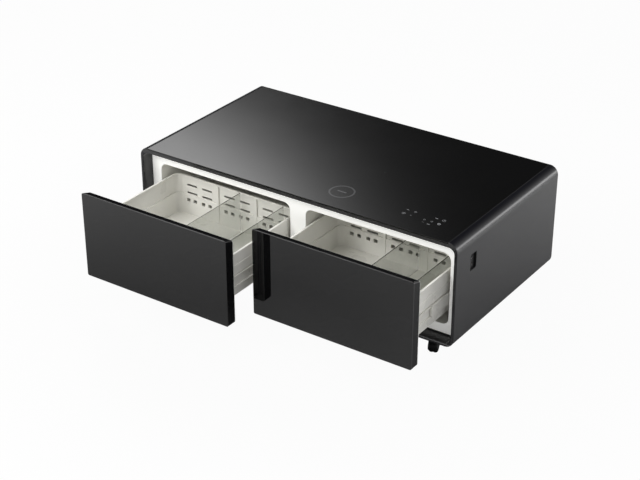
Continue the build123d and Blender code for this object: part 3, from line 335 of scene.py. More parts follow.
trim_moulding = plain_finish(
    "trim_moulding",
    (0.028, 0.028, 0.0285),
    (0.036, 0.036, 0.0365),
    (0.16, 0.22),
    (900.0, 0.00001),
    Specular_IOR_Level=0.3,
)
flange_paint = plain_finish(
    "flange_paint",
    (0.86, 0.86, 0.83),
    (0.90, 0.90, 0.87),
    (0.3, 0.38),
    (700.0, 0.000006),
    # A painted glow, whose colour and share are set below
    Emission_Strength=0.42,
)
liner_sheet = plain_finish(
    "liner_sheet", (0.76, 0.75, 0.70), (0.80, 0.79, 0.74), (0.32, 0.42), (300.0, 0.00001)
)
duct_moulding = plain_finish(
    "duct_moulding", (0.74, 0.74, 0.71), (0.78, 0.78, 0.75), (0.38, 0.46), (900.0, 0.00001)
)
tub_moulding = plain_finish(
    "tub_moulding", (0.75, 0.74, 0.695), (0.79, 0.78, 0.735), (0.26, 0.34), (600.0, 0.000008)
)
inner_cover = plain_finish(
    "inner_cover", (0.78, 0.78, 0.75), (0.82, 0.82, 0.79), (0.3, 0.4), (800.0, 0.00001)
)
seal_rubber = plain_finish(
    "seal_rubber", (0.30, 0.30, 0.31), (0.36, 0.36, 0.37), (0.5, 0.62), (1200.0, 0.00002)
)
foot_rubber = plain_finish(
    "foot_rubber", (0.02, 0.02, 0.02), (0.035, 0.034, 0.033), (0.6, 0.75), (900.0, 0.00003)
)
black_moulding = plain_finish(
    "black_moulding",
    (0.007, 0.007, 0.0075),
    (0.011, 0.011, 0.0115),
    (0.32, 0.42),
    (1400.0, 0.00001),
    Specular_IOR_Level=0.3,
)
caster_moulding = plain_finish(
    "caster_moulding",
    (0.004, 0.004, 0.0045),
    (0.006, 0.006, 0.0065),
    (0.3, 0.4),
    (1100.0, 0.00001),
    Specular_IOR_Level=0.15,
)
wheel_tread = plain_finish(
    "wheel_tread",
    (0.006, 0.006, 0.0065),
    (0.011, 0.011, 0.0115),
    (0.48, 0.62),
    (1500.0, 0.00002),
    Specular_IOR_Level=0.2,
)
wheel_hub = plain_finish(
    "wheel_hub",
    (0.006, 0.006, 0.0065),
    (0.01, 0.01, 0.0105),
    (0.28, 0.38),
    (900.0, 0.000008),
    Specular_IOR_Level=0.25,
)
plate_paint = plain_finish(
    "plate_paint", (0.018, 0.018, 0.019), (0.03, 0.03, 0.031), (0.34, 0.46), (700.0, 0.00002)
)
pan_moulding = plain_finish(
    "pan_moulding", (0.30, 0.31, 0.32), (0.36, 0.37, 0.38), (0.4, 0.5), (800.0, 0.00002)
)
panel_paint = plain_finish(
    "panel_paint", (0.016, 0.016, 0.018), (0.024, 0.024, 0.026), (0.36, 0.48), (1000.0, 0.00003)
)
pot_paint = plain_finish(
    "pot_paint", (0.012, 0.012, 0.012), (0.022, 0.022, 0.022), (0.2, 0.34), (160.0, 0.00005)
)

# Painted glow: the flange gives off a faint light of its own, strongest above the openings and half
# as strong lower down
glow_depth = 0.05
flange_tree = flange_paint.tree
strip_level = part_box("led_strips")[1].z
glow = {
    "Value": split(flange_tree, flange_paint.place)["Z"],
    "From Min": strip_level - glow_depth,
    "From Max": strip_level,
    "To Min": 0.5,
}
painted_glow_share = put(flange_tree, "ShaderNodeMapRange", glow).outputs["Result"]
flange_paint.join(
    blend_tone(flange_tree, painted_glow_share, (0, 0, 0, 1), (1.0, 1.0, 0.98, 1)), "Emission Color"
)

# Finishes: metals

rail_coat = metal_finish(
    "rail_coat",
    (0.66, 0.65, 0.61),
    (0.72, 0.71, 0.67),
    (0.38, 0.5),
    (900.0, 14.0, 900.0),
    0.00001,
    metallic=0.0,
    Specular_IOR_Level=0.35,
)
screw_steel = metal_finish(
    "screw_steel",
    (0.22, 0.22, 0.23),
    (0.34, 0.34, 0.35),
    (0.3, 0.42),
    (900.0, 900.0, 900.0),
    0.00001,
)
supply_steel = metal_finish(
    "supply_steel",
    (0.55, 0.56, 0.58),
    (0.68, 0.69, 0.70),
    (0.3, 0.5),
    (12.0, 600.0, 600.0),
    0.00001,
)
cold_plate = metal_finish(
    "cold_plate",
    (0.78, 0.78, 0.79),
    (0.86, 0.86, 0.87),
    (0.22, 0.34),
    (10.0, 700.0, 700.0),
    0.00001,
)
fin_metal = metal_finish(
    "fin_metal",
    (0.74, 0.75, 0.76),
    (0.84, 0.84, 0.85),
    (0.3, 0.42),
    (800.0, 20.0, 800.0),
    0.00001,
)
pipe_copper = metal_finish(
    "pipe_copper",
    (0.70, 0.33, 0.17),
    (0.86, 0.46, 0.28),
    (0.2, 0.36),
    (300.0, 300.0, 300.0),
    0.000008,
)
contact_gold = metal_finish(
    "contact_gold",
    (0.80, 0.58, 0.25),
    (0.92, 0.70, 0.34),
    (0.2, 0.3),
    (600.0, 600.0, 600.0),
    0.000004,
)
port_steel = metal_finish(
    "port_steel",
    (0.60, 0.60, 0.62),
    (0.72, 0.72, 0.74),
    (0.2, 0.3),
    (30.0, 900.0, 900.0),
    0.000005,
)

# Foam: a cream-coloured block with closed cells
foam_cells = Finish("foam_cells")
foam_cells.tone((0.66, 0.55, 0.34), (0.78, 0.69, 0.48), 9.0)
foam_cells.gloss(0.8, 0.95, 20.0)
cells = put(foam_cells.tree, "ShaderNodeTexVoronoi", {"Vector": foam_cells.place, "Scale": 480.0})
foam_cells.relief(cells.outputs["Distance"], 0.0006)

# Top glass: black glass with touch marks printed behind it. Each mark has a kind, a place, a
# radius or half length, a line or half width, and a brightness.
glass_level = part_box("glass_top")[1].z
print_depth = 0.001
ring_x, ring_y = 0.1405, -0.0689
top_glass = Finish("top_glass", IOR=1.5, Emission_Strength=0.16)
top_glass.gloss(0.085, 0.105, 7.0)
touch_marks = [
    ("ring", 0.393, -0.0845, 0.0056, 0.0006, 0.26),
    ("dot", 0.393, -0.0845, 0.0022, 0.0, 0.26),
    ("bar", 0.392, -0.0555, 0.0050, 0.0009, 0.30),
    ("bar", 0.420, -0.0845, 0.0026, 0.0026, 0.08),
    ("ring", 0.421, -0.0555, 0.0038, 0.0005, 0.24),
    ("bar", 0.421, -0.0555, 0.0005, 0.0034, 0.24),
    ("ring", 0.472, -0.0845, 0.0030, 0.0005, 0.24),
    ("bar", 0.477, -0.1025, 0.0042, 0.0006, 0.14),
    ("bar", 0.499, -0.1055, 0.0050, 0.0009, 0.42),
    ("ring", 0.499, -0.0835, 0.0032, 0.0006, 0.24),
    ("bar", 0.501, -0.0555, 0.0050, 0.0009, 0.40),
    ("ring", 0.527, -0.0855, 0.0046, 0.0008, 0.38),
    ("dot", 0.527, -0.0855, 0.0016, 0.0, 0.38),
    ("ring", 0.529, -0.0565, 0.0056, 0.0006, 0.26),
    ("bar", 0.529, -0.0535, 0.0006, 0.0030, 0.26),
    ("dot", 0.180, 0.1365, 0.0016, 0.0, 0.06),
    ("ring", ring_x, ring_y, 0.0425, 0.0030, 0.048),
    ("bar", ring_x, ring_y, 0.0175, 0.0027, 0.075),
]
printed = 0.0
for kind, x, y, size, width, brightness in touch_marks:
    where = {"Place": top_glass.place, "Middle": (x, y, glass_level)}
    if kind == "bar":
        mark = use(top_glass.tree, printed_block, Half=(size, width, print_depth), **where)
    else:
        radius, line = (size, width) if kind == "ring" else (size / 2, size / 2)
        mark = use(top_glass.tree, printed_ring, Radius=radius, Line=line, **where)
    shown = sum_up(top_glass.tree, "MULTIPLY", mark["Mask"], brightness)
    printed = sum_up(top_glass.tree, "MAXIMUM", shown, printed)
black_print = top_glass.drift((0.0006, 0.0006, 0.0007), (0.0009, 0.0009, 0.0010), 3.0)
pale_print = (0.85, 0.87, 0.9, 1)
top_glass.join(blend_tone(top_glass.tree, printed, black_print, pale_print), "Base Color")
top_glass.join(blend_tone(top_glass.tree, printed, (0, 0, 0, 1), pale_print), "Emission Color")
top_glass.grain(5.0, 0.00002)

# Drawer glass: black glass as flat as a mirror, with a ground upper edge
front_glass = plain_finish(
    "front_glass",
    (0.0022, 0.0022, 0.0024),
    (0.003, 0.003, 0.0032),
    (0.02, 0.035),
    (3.0, 0.00001),
    Specular_IOR_Level=0.53,
)
ground_edge = 0.0006
front_glass.dull_above(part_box("left_drawer_glass")[1].z - ground_edge, 0.34)

# Clear dividers: thin smoky acrylic that lets light through to what it would shade
clear_sheet = Finish("clear_sheet", Transmission_Weight=1.0, IOR=1.3)
clear_sheet.gloss(0.02, 0.05, 20.0)
clear_sheet.tone((0.62, 0.63, 0.61), (0.69, 0.70, 0.68), 8.0)
clear_sheet.grain(40.0, 0.000004)
clear_tree = clear_sheet.tree
passing = put(clear_tree, "ShaderNodeBsdfTransparent", {"Color": (0.70, 0.71, 0.69, 1)})
rays = put(clear_tree, "ShaderNodeLightPath").outputs
soft_rays = sum_up(clear_tree, "MAXIMUM", rays["Is Shadow Ray"], rays["Is Diffuse Ray"])
clear_sheet.mix_in(soft_rays, passing)

# Light strips: a milky cover with a brighter spot over each diode
diode_pitch = 0.02
light_strip = Finish("light_strip", Emission_Strength=3.4)
light_strip.tone((0.82, 0.82, 0.80), (0.88, 0.88, 0.86), 30.0)
light_strip.gloss(0.4, 0.5, 60.0)
along = split(light_strip.tree, light_strip.place)["X"]
beat = waves(light_strip.tree, along, diode_pitch)
whole_beat = {"Value": beat, "From Min": -1.0, "From Max": 1.0, "To Min": 0.0, "To Max": 1.0}
spots = put(light_strip.tree, "ShaderNodeMapRange", whole_beat).outputs["Result"]
lit = blend_tone(light_strip.tree, spots, (0.80, 0.80, 0.76, 1), (1.0, 1.0, 0.96, 1))
light_strip.join(lit, "Emission Color")
light_strip.grain(900.0, 0.00001)


def board_finish(name, axis, level, sign):
    """A circuit board: green with traces, and dark parts beyond a level along an axis."""
    made = Finish(name)
    tree = made.tree
    green = made.drift((0.012, 0.09, 0.035), (0.02, 0.13, 0.05), 25.0)
    traces = put(
        tree,
        "ShaderNodeTexVoronoi",
        {"Vector": made.place, "Scale": 160.0},
        distance="MANHATTAN",
        feature="F2",
    )
    copper_share = sum_up(tree, "COMPARE", traces.outputs["Distance"], 0.8, 0.09)
    copper = blend_tone(tree, copper_share, green, (0.05, 0.22, 0.09, 1))
    height = sum_up(tree, "MULTIPLY", split(tree, made.place)[axis], sign)
    beyond = sum_up(tree, "GREATER_THAN", height, sign * level)
    made.join(blend_tone(tree, beyond, copper, (0.015, 0.015, 0.017, 1)), "Base Color")
    made.gloss(0.3, 0.45, 60.0)
    made.relief(traces.outputs["Distance"], 0.00005)
    return made


# The dark parts lie below the touch board, and behind the control board
touch_sheet = 0.0018
control_sheet = 0.0108
touch_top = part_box("touch_board")[1].z
touch_circuit = board_finish("touch_circuit", "Z", touch_top - touch_sheet, -1)
control_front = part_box("control_board")[0].y
control_circuit = board_finish("control_circuit", "Y", control_front + control_sheet, 1)

# Charging coil: turns of copper wire on a dark ferrite disc
wire_pitch = 0.0012
wire_depth = 0.0026
coil_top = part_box("charging_coil")[1].z
coil_middle = middle("charging_coil")
coil_turns = Finish("coil_turns")
coil_centre = (coil_middle.x, coil_middle.y, coil_top)
away = on_vectors(coil_turns.tree, "DISTANCE", coil_turns.place, coil_centre).outputs["Value"]
turns = waves(coil_turns.tree, away, wire_pitch)
turn_share = spread(coil_turns.tree, turns, 0.0, 1.0)
wire = blend_tone(coil_turns.tree, turn_share, (0.25, 0.08, 0.03, 1), (0.72, 0.32, 0.14, 1))
height = split(coil_turns.tree, coil_turns.place)["Z"]
is_ferrite = sum_up(coil_turns.tree, "LESS_THAN", height, coil_top - wire_depth)
coil_turns.join(blend_tone(coil_turns.tree, is_ferrite, wire, (0.03, 0.03, 0.032, 1)), "Base Color")
coil_turns.gloss(0.25, 0.4, 80.0)
coil_turns.relief(turns, 0.0002)

# Power inlet: black moulding with bright pins in its well
pin_half = (0.0092, 0.0091, 0.0066)
pin_depth = 0.0085
inlet_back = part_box("power_inlet")[1].y
inlet_middle = middle("power_inlet")
inlet_finish = Finish("inlet_finish")
pins = use(
    inlet_finish.tree,
    printed_block,
    Place=inlet_finish.place,
    Middle=(inlet_middle.x, inlet_back - pin_depth, inlet_middle.z),
    Half=pin_half,
)["Mask"]
pin_tone = blend_tone(inlet_finish.tree, pins, (0.014, 0.014, 0.015, 1), (0.66, 0.66, 0.68, 1))
inlet_finish.join(pins, "Metallic")
inlet_finish.join(pin_tone, "Base Color")
inlet_finish.gloss(0.28, 0.38, 60.0)
inlet_finish.grain(1400.0, 0.00001)

# Which finish each solid part gets

finishes = {
    "outer_shell": shell_paint,
    "glass_top": top_glass,
    "front_flange": flange_paint,
    "insulation_foam": foam_cells,
    "led_strips": light_strip,
    "compressor": pot_paint,
    "compressor_mounts": foot_rubber,
    "condenser": fin_metal,
    "condenser_fan_frame": black_moulding,
    "condenser_fan_rotor": black_moulding,
    "refrigerant_lines": pipe_copper,
    "drain_pan": pan_moulding,
    "control_board": control_circuit,
    "power_supply": supply_steel,
    "power_inlet": inlet_finish,
    "back_panel": panel_paint,
    "cabinet_screws": screw_steel,
    "touch_board": touch_circuit,
    "charging_coil": coil_turns,
    "outlet_housing": black_moulding,
    "outlet_insert": black_moulding,
    "caster_plates": plate_paint,
}
for name in sides:
    finishes |= {
        f"{name}_liner": liner_sheet,
        f"{name}_duct_cover": duct_moulding,
        f"{name}_evaporator": cold_plate,
        f"{name}_fan_frame": black_moulding,
        f"{name}_fan_rotor": black_moulding,
        f"{name}_fixed_rails": rail_coat,
        f"{name}_middle_rails": rail_coat,
        f"{name}_inner_rails": rail_coat,
        f"{name}_drawer_glass": front_glass,
        f"{name}_drawer_case": case_paint,
        f"{name}_drawer_core": foam_cells,
        f"{name}_drawer_cover": inner_cover,
        f"{name}_drawer_gasket": seal_rubber,
        f"{name}_drawer_tub": tub_moulding,
        f"{name}_drawer_dividers": clear_sheet,
    }
    for end in ends:
        finishes |= {
            f"{end}_{name}_caster_hood": caster_moulding,
            f"{end}_{name}_caster_wheels": wheel_tread,
        }
for name, piece in cad.items():
    for slot in piece.material_slots:
        slot.material = finishes[name].material


# Small tools for new pieces


def finish_piece(name, shape, finish_list, body, fold=35.0):
    """Makes an object of a shape, with its finishes, and lets it move with a body."""
    bmesh.ops.remove_doubles(shape, verts=shape.verts, dist=weld)
    mesh = bpy.data.meshes.new(name)
    shape.to_mesh(mesh)
    shape.free()
    mesh.shade_smooth()
    mesh.set_sharp_from_angle(angle=math.radians(fold))
    for finish in finish_list:
        mesh.materials.append(finish.material)
    piece = bpy.data.objects.new(name, mesh)
    bpy.context.scene.collection.objects.link(piece)
    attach(piece, body)
    return piece


def round_off(shape, rims, offset, segments):
    """Rounds some edges of a shape."""
    bmesh.ops.bevel(
        shape,
        geom=list(rims),
        offset=offset,
        affect="EDGES",
        segments=segments,
        profile=0.5,
        material=-1,
    )


def edges_of(corners, longest=math.inf):
    """The edges at some corners of a shape, up to a length."""
    rims = {rim for corner in corners for rim in corner.link_edges}
    return [rim for rim in rims if rim.calc_length() < longest]


def add_block(shape, centre, size, edge, turn=Matrix.Identity(4)):
    """Adds a box with rounded edges to a shape."""
    place = Matrix.Translation(centre) @ turn @ Matrix.Diagonal((*size, 1))
    made = bmesh.ops.create_cube(shape, size=1.0, matrix=place)["verts"]
    round_off(shape, edges_of(made), edge, 2)


def add_round(shape, place, depth, segments, radius, end_radius=None):
    """Adds a round bar along Z, straight or tapered, to a shape, and gives its corners."""
    return bmesh.ops.create_cone(
        shape,
        cap_ends=True,
        segments=segments,
        radius1=radius,
        radius2=end_radius or radius,
        depth=depth,
        matrix=place,
    )["verts"]


def spin_profile(shape, profile, centre, steps):
    """Spins a line of (distance along X, radius) points round the X axis."""
    corners = [
        shape.verts.new((centre.x + x, centre.y, centre.z + radius)) for x, radius in profile
    ]
    line = [shape.edges.new(pair) for pair in zip(corners, corners[1:])]
    bmesh.ops.spin(
        shape,
        geom=corners + line,
        cent=centre,
        axis=(1, 0, 0),
        angle=math.tau,
        steps=steps,
        use_merge=True,
    )


# Casters: twin wheels with a domed tread, a ribbed dish and a cap on the axle

outer_profile = [
    (0.0064, 0.0002),
    (0.0063, 0.0030),
    (0.0055, 0.0042),
    (0.0046, 0.0046),
    (0.0044, 0.0060),
    (0.0044, 0.0136),
    (0.0049, 0.0146),
    (0.0059, 0.0152),
    (0.0062, 0.0160),
    (0.0060, 0.0168),
    (0.0055, 0.0173),
]
shoulder_x, shoulder_radius = 0.0063, 0.0182
shoulder_run, shoulder_rise = 0.0082, 0.0068
shoulder_steps = 8
for k in range(shoulder_steps + 1):
    turn = math.pi / 2 * k / shoulder_steps
    run = shoulder_run * (1 - math.cos(turn))
    rise = shoulder_rise * math.sin(turn)
    outer_profile.append((shoulder_x - run, shoulder_radius + rise))
inner_profile = [
    (-0.0022, 0.0250),
    (-0.0026, 0.0246),
    (-0.0030, 0.0250),
    (-0.0050, 0.0250),
    (-0.0060, 0.0246),
    (-0.0064, 0.0236),
    (-0.0061, 0.0200),
    (-0.0056, 0.0160),
    (-0.0053, 0.0060),
    (-0.0063, 0.0052),
    (-0.0064, 0.0002),
]
wheel_width = 0.013
wheel_gap = 0.005
wheel_radius = 0.025
tread_radius = 0.0174  # The look of the hub ends here, and that of the tread starts
rib_count = 6
rib_centre = Vector((0.0049, 0.0, 0.0097))
rib_size = (0.0014, 0.0016, 0.0086)
rib_edge = 0.0003
hood_radius = 0.0288
hood_edge = 0.0075
hood_wall = 0.002
hood_half = 0.017
hood_low = 0.0187
guard_radius = 0.0238
guard_half = 0.0020
guard_edge = 0.0008
guard_step = 0.0038  # Longer than an edge of the guard's rims, and shorter than its width
barrel_radius = 0.012
barrel_taper = 0.0008
barrel_edge = 0.0012
barrel_step = 0.003  # Longer than an edge of the barrel's rims, and shorter than the barrel
barrel_low = 0.046
caster_trail = 0.016
caster_turn = Matrix.Rotation(math.radians(18.0), 4, "Z")


def twin_wheels():
    """Both wheels of a caster, with the middle of the axle at the origin."""
    wheels = bmesh.new()
    for direction in (-1, 1):
        wheel = bmesh.new()
        centre = Vector((direction * (wheel_gap + wheel_width) / 2, 0, 0))
        spin_profile(wheel, outer_profile + inner_profile, centre, 56)
        bmesh.ops.remove_doubles(wheel, verts=wheel.verts, dist=weld)
        for rib in range(rib_count):
            turn = Matrix.Rotation(math.tau * rib / rib_count, 4, "X")
            add_block(wheel, centre + turn @ rib_centre, rib_size, rib_edge, turn)
        if direction < 0:
            for corner in wheel.verts:
                corner.co.x = 2 * centre.x - corner.co.x
        bmesh.ops.recalc_face_normals(wheel, faces=wheel.faces)
        for face in wheel.faces:
            spot = face.calc_center_median()
            face.material_index = 0 if math.hypot(spot.y, spot.z) > tread_radius else 1
        kept = bpy.data.meshes.new("wheel")
        wheel.to_mesh(kept)
        wheel.free()
        wheels.from_mesh(kept)
        bpy.data.meshes.remove(kept)
    return wheels


def hood_cover(height):
    """A rounded cover over both wheels, with a barrel round the pin, on the same origin."""
    hood = bmesh.new()
    across = Matrix.Rotation(math.pi / 2, 4, "Y")
    shell = add_round(hood, across, 2 * hood_half, 48, hood_radius)
    round_off(hood, edges_of(shell, 2 * hood_edge), hood_edge, 6)
    bmesh.ops.bisect_plane(
        hood,
        geom=hood.verts[:] + hood.edges[:] + hood.faces[:],
        plane_co=(0, 0, hood_low - wheel_radius),
        plane_no=(0, 0, -1),
        clear_outer=True,
    )
    bmesh.ops.recalc_face_normals(hood, faces=hood.faces)
    bmesh.ops.solidify(hood, geom=hood.faces[:], thickness=hood_wall)
    guard = add_round(hood, across, 2 * guard_half, 48, guard_radius)
    round_off(hood, edges_of(guard, guard_step), guard_edge, 2)
    upright = Matrix.Translation((0, -caster_trail, (height + barrel_low) / 2 - wheel_radius))
    barrel = add_round(
        hood, upright, height - barrel_low, 36, barrel_radius, barrel_radius - barrel_taper
    )
    round_off(hood, edges_of(barrel, barrel_step), barrel_edge, 3)
    return hood


for end in ends:
    for name in sides:
        caster = f"{end}_{name}"
        place = Matrix.Translation(middle(f"{caster}_caster_wheels")) @ caster_turn
        wheels = twin_wheels()
        wheels.transform(place)
        piece = finish_piece(
            f"{caster}_twin_wheels", wheels, [wheel_tread, wheel_hub], f"{caster}_wheels"
        )
        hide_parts(f"{caster}_caster_wheels")
        hood = hood_cover(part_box(f"{caster}_caster_hood")[1].z)
        hood.transform(place)
        cover = finish_piece(
            f"{caster}_hood_cover", hood, [caster_moulding], f"{caster}_caster"
        )
        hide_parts(f"{caster}_caster_hood")

# Trim: a dark moulding that lies on the floor of the front recess

trim_front_gap, trim_rear_gap, trim_side_gap = 0.0012, 0.0004, 0.022
trim_sheet, trim_sheet_edge = 0.001, 0.0003
trim_rim, trim_rise, trim_rim_edge, trim_rim_gap = 0.003, 0.0055, 0.0008, 0.0003
trim_start = shell_low.y + trim_front_gap
trim_depth = flange_low.y - trim_start - trim_rear_gap
trim_width = flange_high.x - flange_low.x - 2 * trim_side_gap
trim = bmesh.new()
add_block(
    trim,
    Vector((0, trim_start + trim_depth / 2, flange_low.z + trim_sheet / 2 - hair)),
    (trim_width, trim_depth, trim_sheet),
    trim_sheet_edge,
)
add_block(
    trim,
    Vector((0, flange_low.y - trim_rim_gap - trim_rim / 2, flange_low.z + trim_rise / 2)),
    (trim_width, trim_rim, trim_rise),
    trim_rim_edge,
)
finish_piece("recess_trim", trim, [trim_moulding], "cabinet")

# Rails: a white keeper in the open front end of each middle rail

keeper_size = (0.0063, 0.0060, 0.0330)
keeper_edge = 0.0006
keeper_in, keeper_back = 0.00415, 0.0032
for name in sides:
    low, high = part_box(f"{name}_middle_rails")
    keepers = bmesh.new()
    for x in (low.x + keeper_in, high.x - keeper_in):
        centre = Vector((x, low.y + keeper_back, (low.z + high.z) / 2))
        add_block(keepers, centre, keeper_size, keeper_edge)
    finish_piece(
        f"{name}_rail_keepers", keepers, [tub_moulding], f"{name}_middle_rails"
    )

# Grips: a dull rubber strip on the sloping top of each drawer front

fall_per_length = 1 / 3
front_slope = Matrix.Rotation(-math.atan(fall_per_length), 4, "X")
grip_thick, grip_edge = 0.0006, 0.0002
grip_inset = 0.0065
for name in sides:
    low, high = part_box(f"{name}_drawer_case")
    run = (high.y - low.y) / 2
    on_slope = Vector(((low.x + high.x) / 2, low.y + run, high.z - run * fall_per_length))
    grip = bmesh.new()
    add_block(
        grip,
        on_slope + front_slope @ Vector((0, 0, grip_thick / 2 - hair)),
        (high.x - low.x - 2 * grip_inset, 2 * (run - hair), grip_thick),
        grip_edge,
        front_slope,
    )
    finish_piece(f"{name}_grip", grip, [grip_rubber], f"{name}_drawer")

# Seals: a soft bellows ring on the back of each drawer front. Each step of its profile is an
# inset and a rise.

seal_corner = 0.042
seal_steps = [
    (0.0003, 0.0026),
    (0.0007, 0.0008),
    (0.0008, -0.0008),
    (0.0003, 0.0030),
    (0.0008, 0.0024),
    (0.0013, 0.0011),
    (0.0012, 0.0002),
    (0.0007, -0.0007),
    (0.0007, 0.0007),
    (0.0012, -0.0002),
    (0.0013, -0.0011),
    (0.0008, -0.0024),
    (0.0003, -0.0058),
]
for name in sides:
    node = f"{name}_drawer_gasket"
    low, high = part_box(node)
    centre = middle(node)
    seal = bmesh.new()
    upright = Matrix.Rotation(-math.pi / 2, 4, "X")
    outline = Matrix.Diagonal((high.x - low.x, high.z - low.z, 1, 1))
    place = Matrix.Translation((centre.x, low.y, centre.z)) @ upright @ outline
    bmesh.ops.create_grid(seal, x_segments=1, y_segments=1, size=0.5, matrix=place)
    bmesh.ops.bevel(
        seal,
        geom=seal.verts[:],
        offset=seal_corner,
        affect="VERTICES",
        segments=12,
        profile=0.5,
        material=-1,
    )
    sheet = max(seal.faces, key=lambda face: face.calc_area())
    for inset, rise in seal_steps:
        bmesh.ops.inset_region(
            seal,
            faces=[sheet],
            use_boundary=True,
            use_even_offset=True,
            thickness=inset,
            depth=rise,
        )
        sheet = max(seal.faces, key=lambda face: face.calc_area())
    bmesh.ops.delete(seal, geom=[sheet], context="FACES_ONLY")
    if sum(face.normal.y for face in seal.faces) < 0:
        bmesh.ops.reverse_faces(seal, faces=seal.faces[:])
    ring = finish_piece(
        f"{name}_seal", seal, [seal_rubber], f"{name}_drawer", 60.0
    )
    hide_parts(node)

# Rivets on the webs of the middle and inner rails

rivet_count = 5
rivet_radius = 0.0035
rivet_margin = 0.03
for name in sides:
    for kind, body, web_depth, head in (
        ("middle", f"{name}_middle_rails", 0.0030, 0.0010),
        ("inner", f"{name}_drawer", 0.0126, 0.0016),
    ):
        low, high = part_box(f"{name}_{kind}_rails")
        wall_low, wall_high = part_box(f"{name}_fixed_rails")
        centre = middle(f"{name}_{kind}_rails")
        flat = Matrix.Diagonal((head, rivet_radius, rivet_radius, 1))
        pitch = (high.y - low.y - 2 * rivet_margin) / (rivet_count - 1)
        rivets = bmesh.new()
        for x in (wall_low.x + web_depth, wall_high.x - web_depth):
            for k in range(rivet_count):
                place = Matrix.Translation((x, low.y + rivet_margin + k * pitch, centre.z))
                bmesh.ops.create_uvsphere(
                    rivets, u_segments=12, v_segments=8, radius=1.0, matrix=place @ flat
                )
        finish_piece(f"{name}_{kind}_rivets", rivets, [rail_coat], body, 80.0)

# Louvres pressed out of the back panel over its slots

field_middles = (-0.429, -0.17205, 0.429)
column_offset = 0.037
louvre_rows, louvre_pitch = 12, 0.012
louvre_lift = 0.0004
louvre_wall = 0.0005
half_lens = Matrix.Diagonal((0.0312, 0.0034, 0.0044, 1)) @ Matrix.Rotation(math.pi / 2, 4, "Y")
panel_z = middle("back_panel").z
panel_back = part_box("back_panel")[1].y - hair
louvres = bmesh.new()
for field_x in field_middles:
    for x in (field_x - column_offset, field_x + column_offset):
        for row in range(louvre_rows):
            z = panel_z + (row - (louvre_rows - 1) / 2) * louvre_pitch
            place = Matrix.Translation((x, panel_back, z + louvre_lift))
            made = bmesh.ops.create_uvsphere(
                louvres, u_segments=14, v_segments=8, radius=1.0, matrix=place @ half_lens
            )["verts"]
            # What lies inside the panel, or below the middle of the slot, is cut away
            for on_plane, outward in (
                (Vector((0, panel_back, 0)), Vector((0, -1, 0))),
                (Vector((0, 0, z + hair)), Vector((0, 0, -1))),
            ):
                left = [v for v in made if v.is_valid]
                geometry = list({f for v in left for f in v.link_faces}) + edges_of(left) + left
                bmesh.ops.bisect_plane(
                    louvres, geom=geometry, plane_co=on_plane, plane_no=outward, clear_outer=True
                )
bmesh.ops.solidify(louvres, geom=louvres.faces[:], thickness=louvre_wall)
finish_piece("back_louvres", louvres, [panel_paint], "cabinet", 40.0)

# Outlet: a steel shield in each port, with gold contacts on its tongue

port_offset = 0.011
port_half_width, port_half_height = 0.0067, 0.0034
shield_x = -0.0021
shield_depth, shield_wall = 0.0040, 0.0003
shield_width, shield_height = 0.0128, 0.0058
pad_place, pad_size = (-0.0016, -0.0011), (0.0030, 0.0010, 0.0003)
pad_count, pad_pitch = 4, 0.0022
steel_edge = 0.0001
outlet_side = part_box("outlet_insert")[1].x
outlet_middle = middle("outlet_insert")
shields = bmesh.new()
contacts = bmesh.new()
for lift in (-port_offset, port_offset):
    port = Vector((outlet_side, outlet_middle.y, outlet_middle.z + lift))
    for z in (-port_half_height, port_half_height):
        flat_wall = (shield_depth, shield_width, shield_wall)
        add_block(shields, port + Vector((shield_x, 0, z)), flat_wall, steel_edge)
    for y in (-port_half_width, port_half_width):
        upright_wall = (shield_depth, shield_wall, shield_height)
        add_block(shields, port + Vector((shield_x, y, 0)), upright_wall, steel_edge)
    for pad in range(pad_count):
        y = (pad - (pad_count - 1) / 2) * pad_pitch
        add_block(contacts, port + Vector((pad_place[0], y, pad_place[1])), pad_size, steel_edge)
finish_piece("outlet_shields", shields, [port_steel], "cabinet")
finish_piece("outlet_contacts", contacts, [contact_gold], "cabinet")

# Floor, which shows white and keeps the table's soft shadow. Its colour is painted darker near the
# table, a painted shade that shows most in what the table mirrors

floor_reach = 16.0
# The painted shade fades out between these distances from the middle of the table
far_start, far_end = 0.75, 1.6
white_share = 0.96
floor_mesh = bmesh.new()
bmesh.ops.create_grid(
    floor_mesh,
    x_segments=8,
    y_segments=8,
    size=floor_reach,
    matrix=Matrix.Translation((0, 0, -hair)),
)
mesh = bpy.data.meshes.new("floor")
floor_mesh.to_mesh(mesh)
floor_mesh.free()
floor = bpy.data.objects.new("floor", mesh)
bpy.context.scene.collection.objects.link(floor)
floor_paint = Finish("floor_paint", Specular_IOR_Level=0.4)
floor_tree = floor_paint.tree
away = on_vectors(floor_tree, "DISTANCE", floor_paint.place, (0, 0, 0)).outputs["Value"]
reach = {"Value": away, "From Min": far_start, "From Max": far_end}
far_share = put(floor_tree, "ShaderNodeMapRange", reach).outputs["Result"]
painted_shade_tone = floor_paint.drift((0.29, 0.29, 0.29), (0.31, 0.31, 0.31), 2.0)
floor_paint.join(blend_tone(floor_tree, far_share, painted_shade_tone, (0.74, 0.74, 0.74, 1)), "Base Color")
floor_paint.gloss(0.24, 0.3, 4.0)
rays = put(floor_tree, "ShaderNodeLightPath").outputs
seen = sum_up(floor_tree, "MAXIMUM", rays["Is Camera Ray"], rays["Is Transmission Ray"])
shown_share = sum_up(floor_tree, "MULTIPLY", seen, white_share)
bright = put(floor_tree, "ShaderNodeEmission", {"Color": (1, 1, 1, 1), "Strength": 1.0})
floor_paint.mix_in(shown_share, bright)
mesh.materials.append(floor_paint.material)

# World: a pale studio in front, a dark one behind, a round soft light and two soft panels

world = bpy.data.worlds.new("studio")
bpy.context.scene.world = world
world.use_nodes = True
studio = world.node_tree
towards = put(studio, "ShaderNodeTexCoord").outputs["Generated"]
heading = split(studio, towards)
panel_cut = 0.02  # Taken off a panel's light, so that it has an end


def join_up(operation, first, second=0.0):
    """Joins two numbers of the studio."""
    return sum_up(studio, operation, first, second)


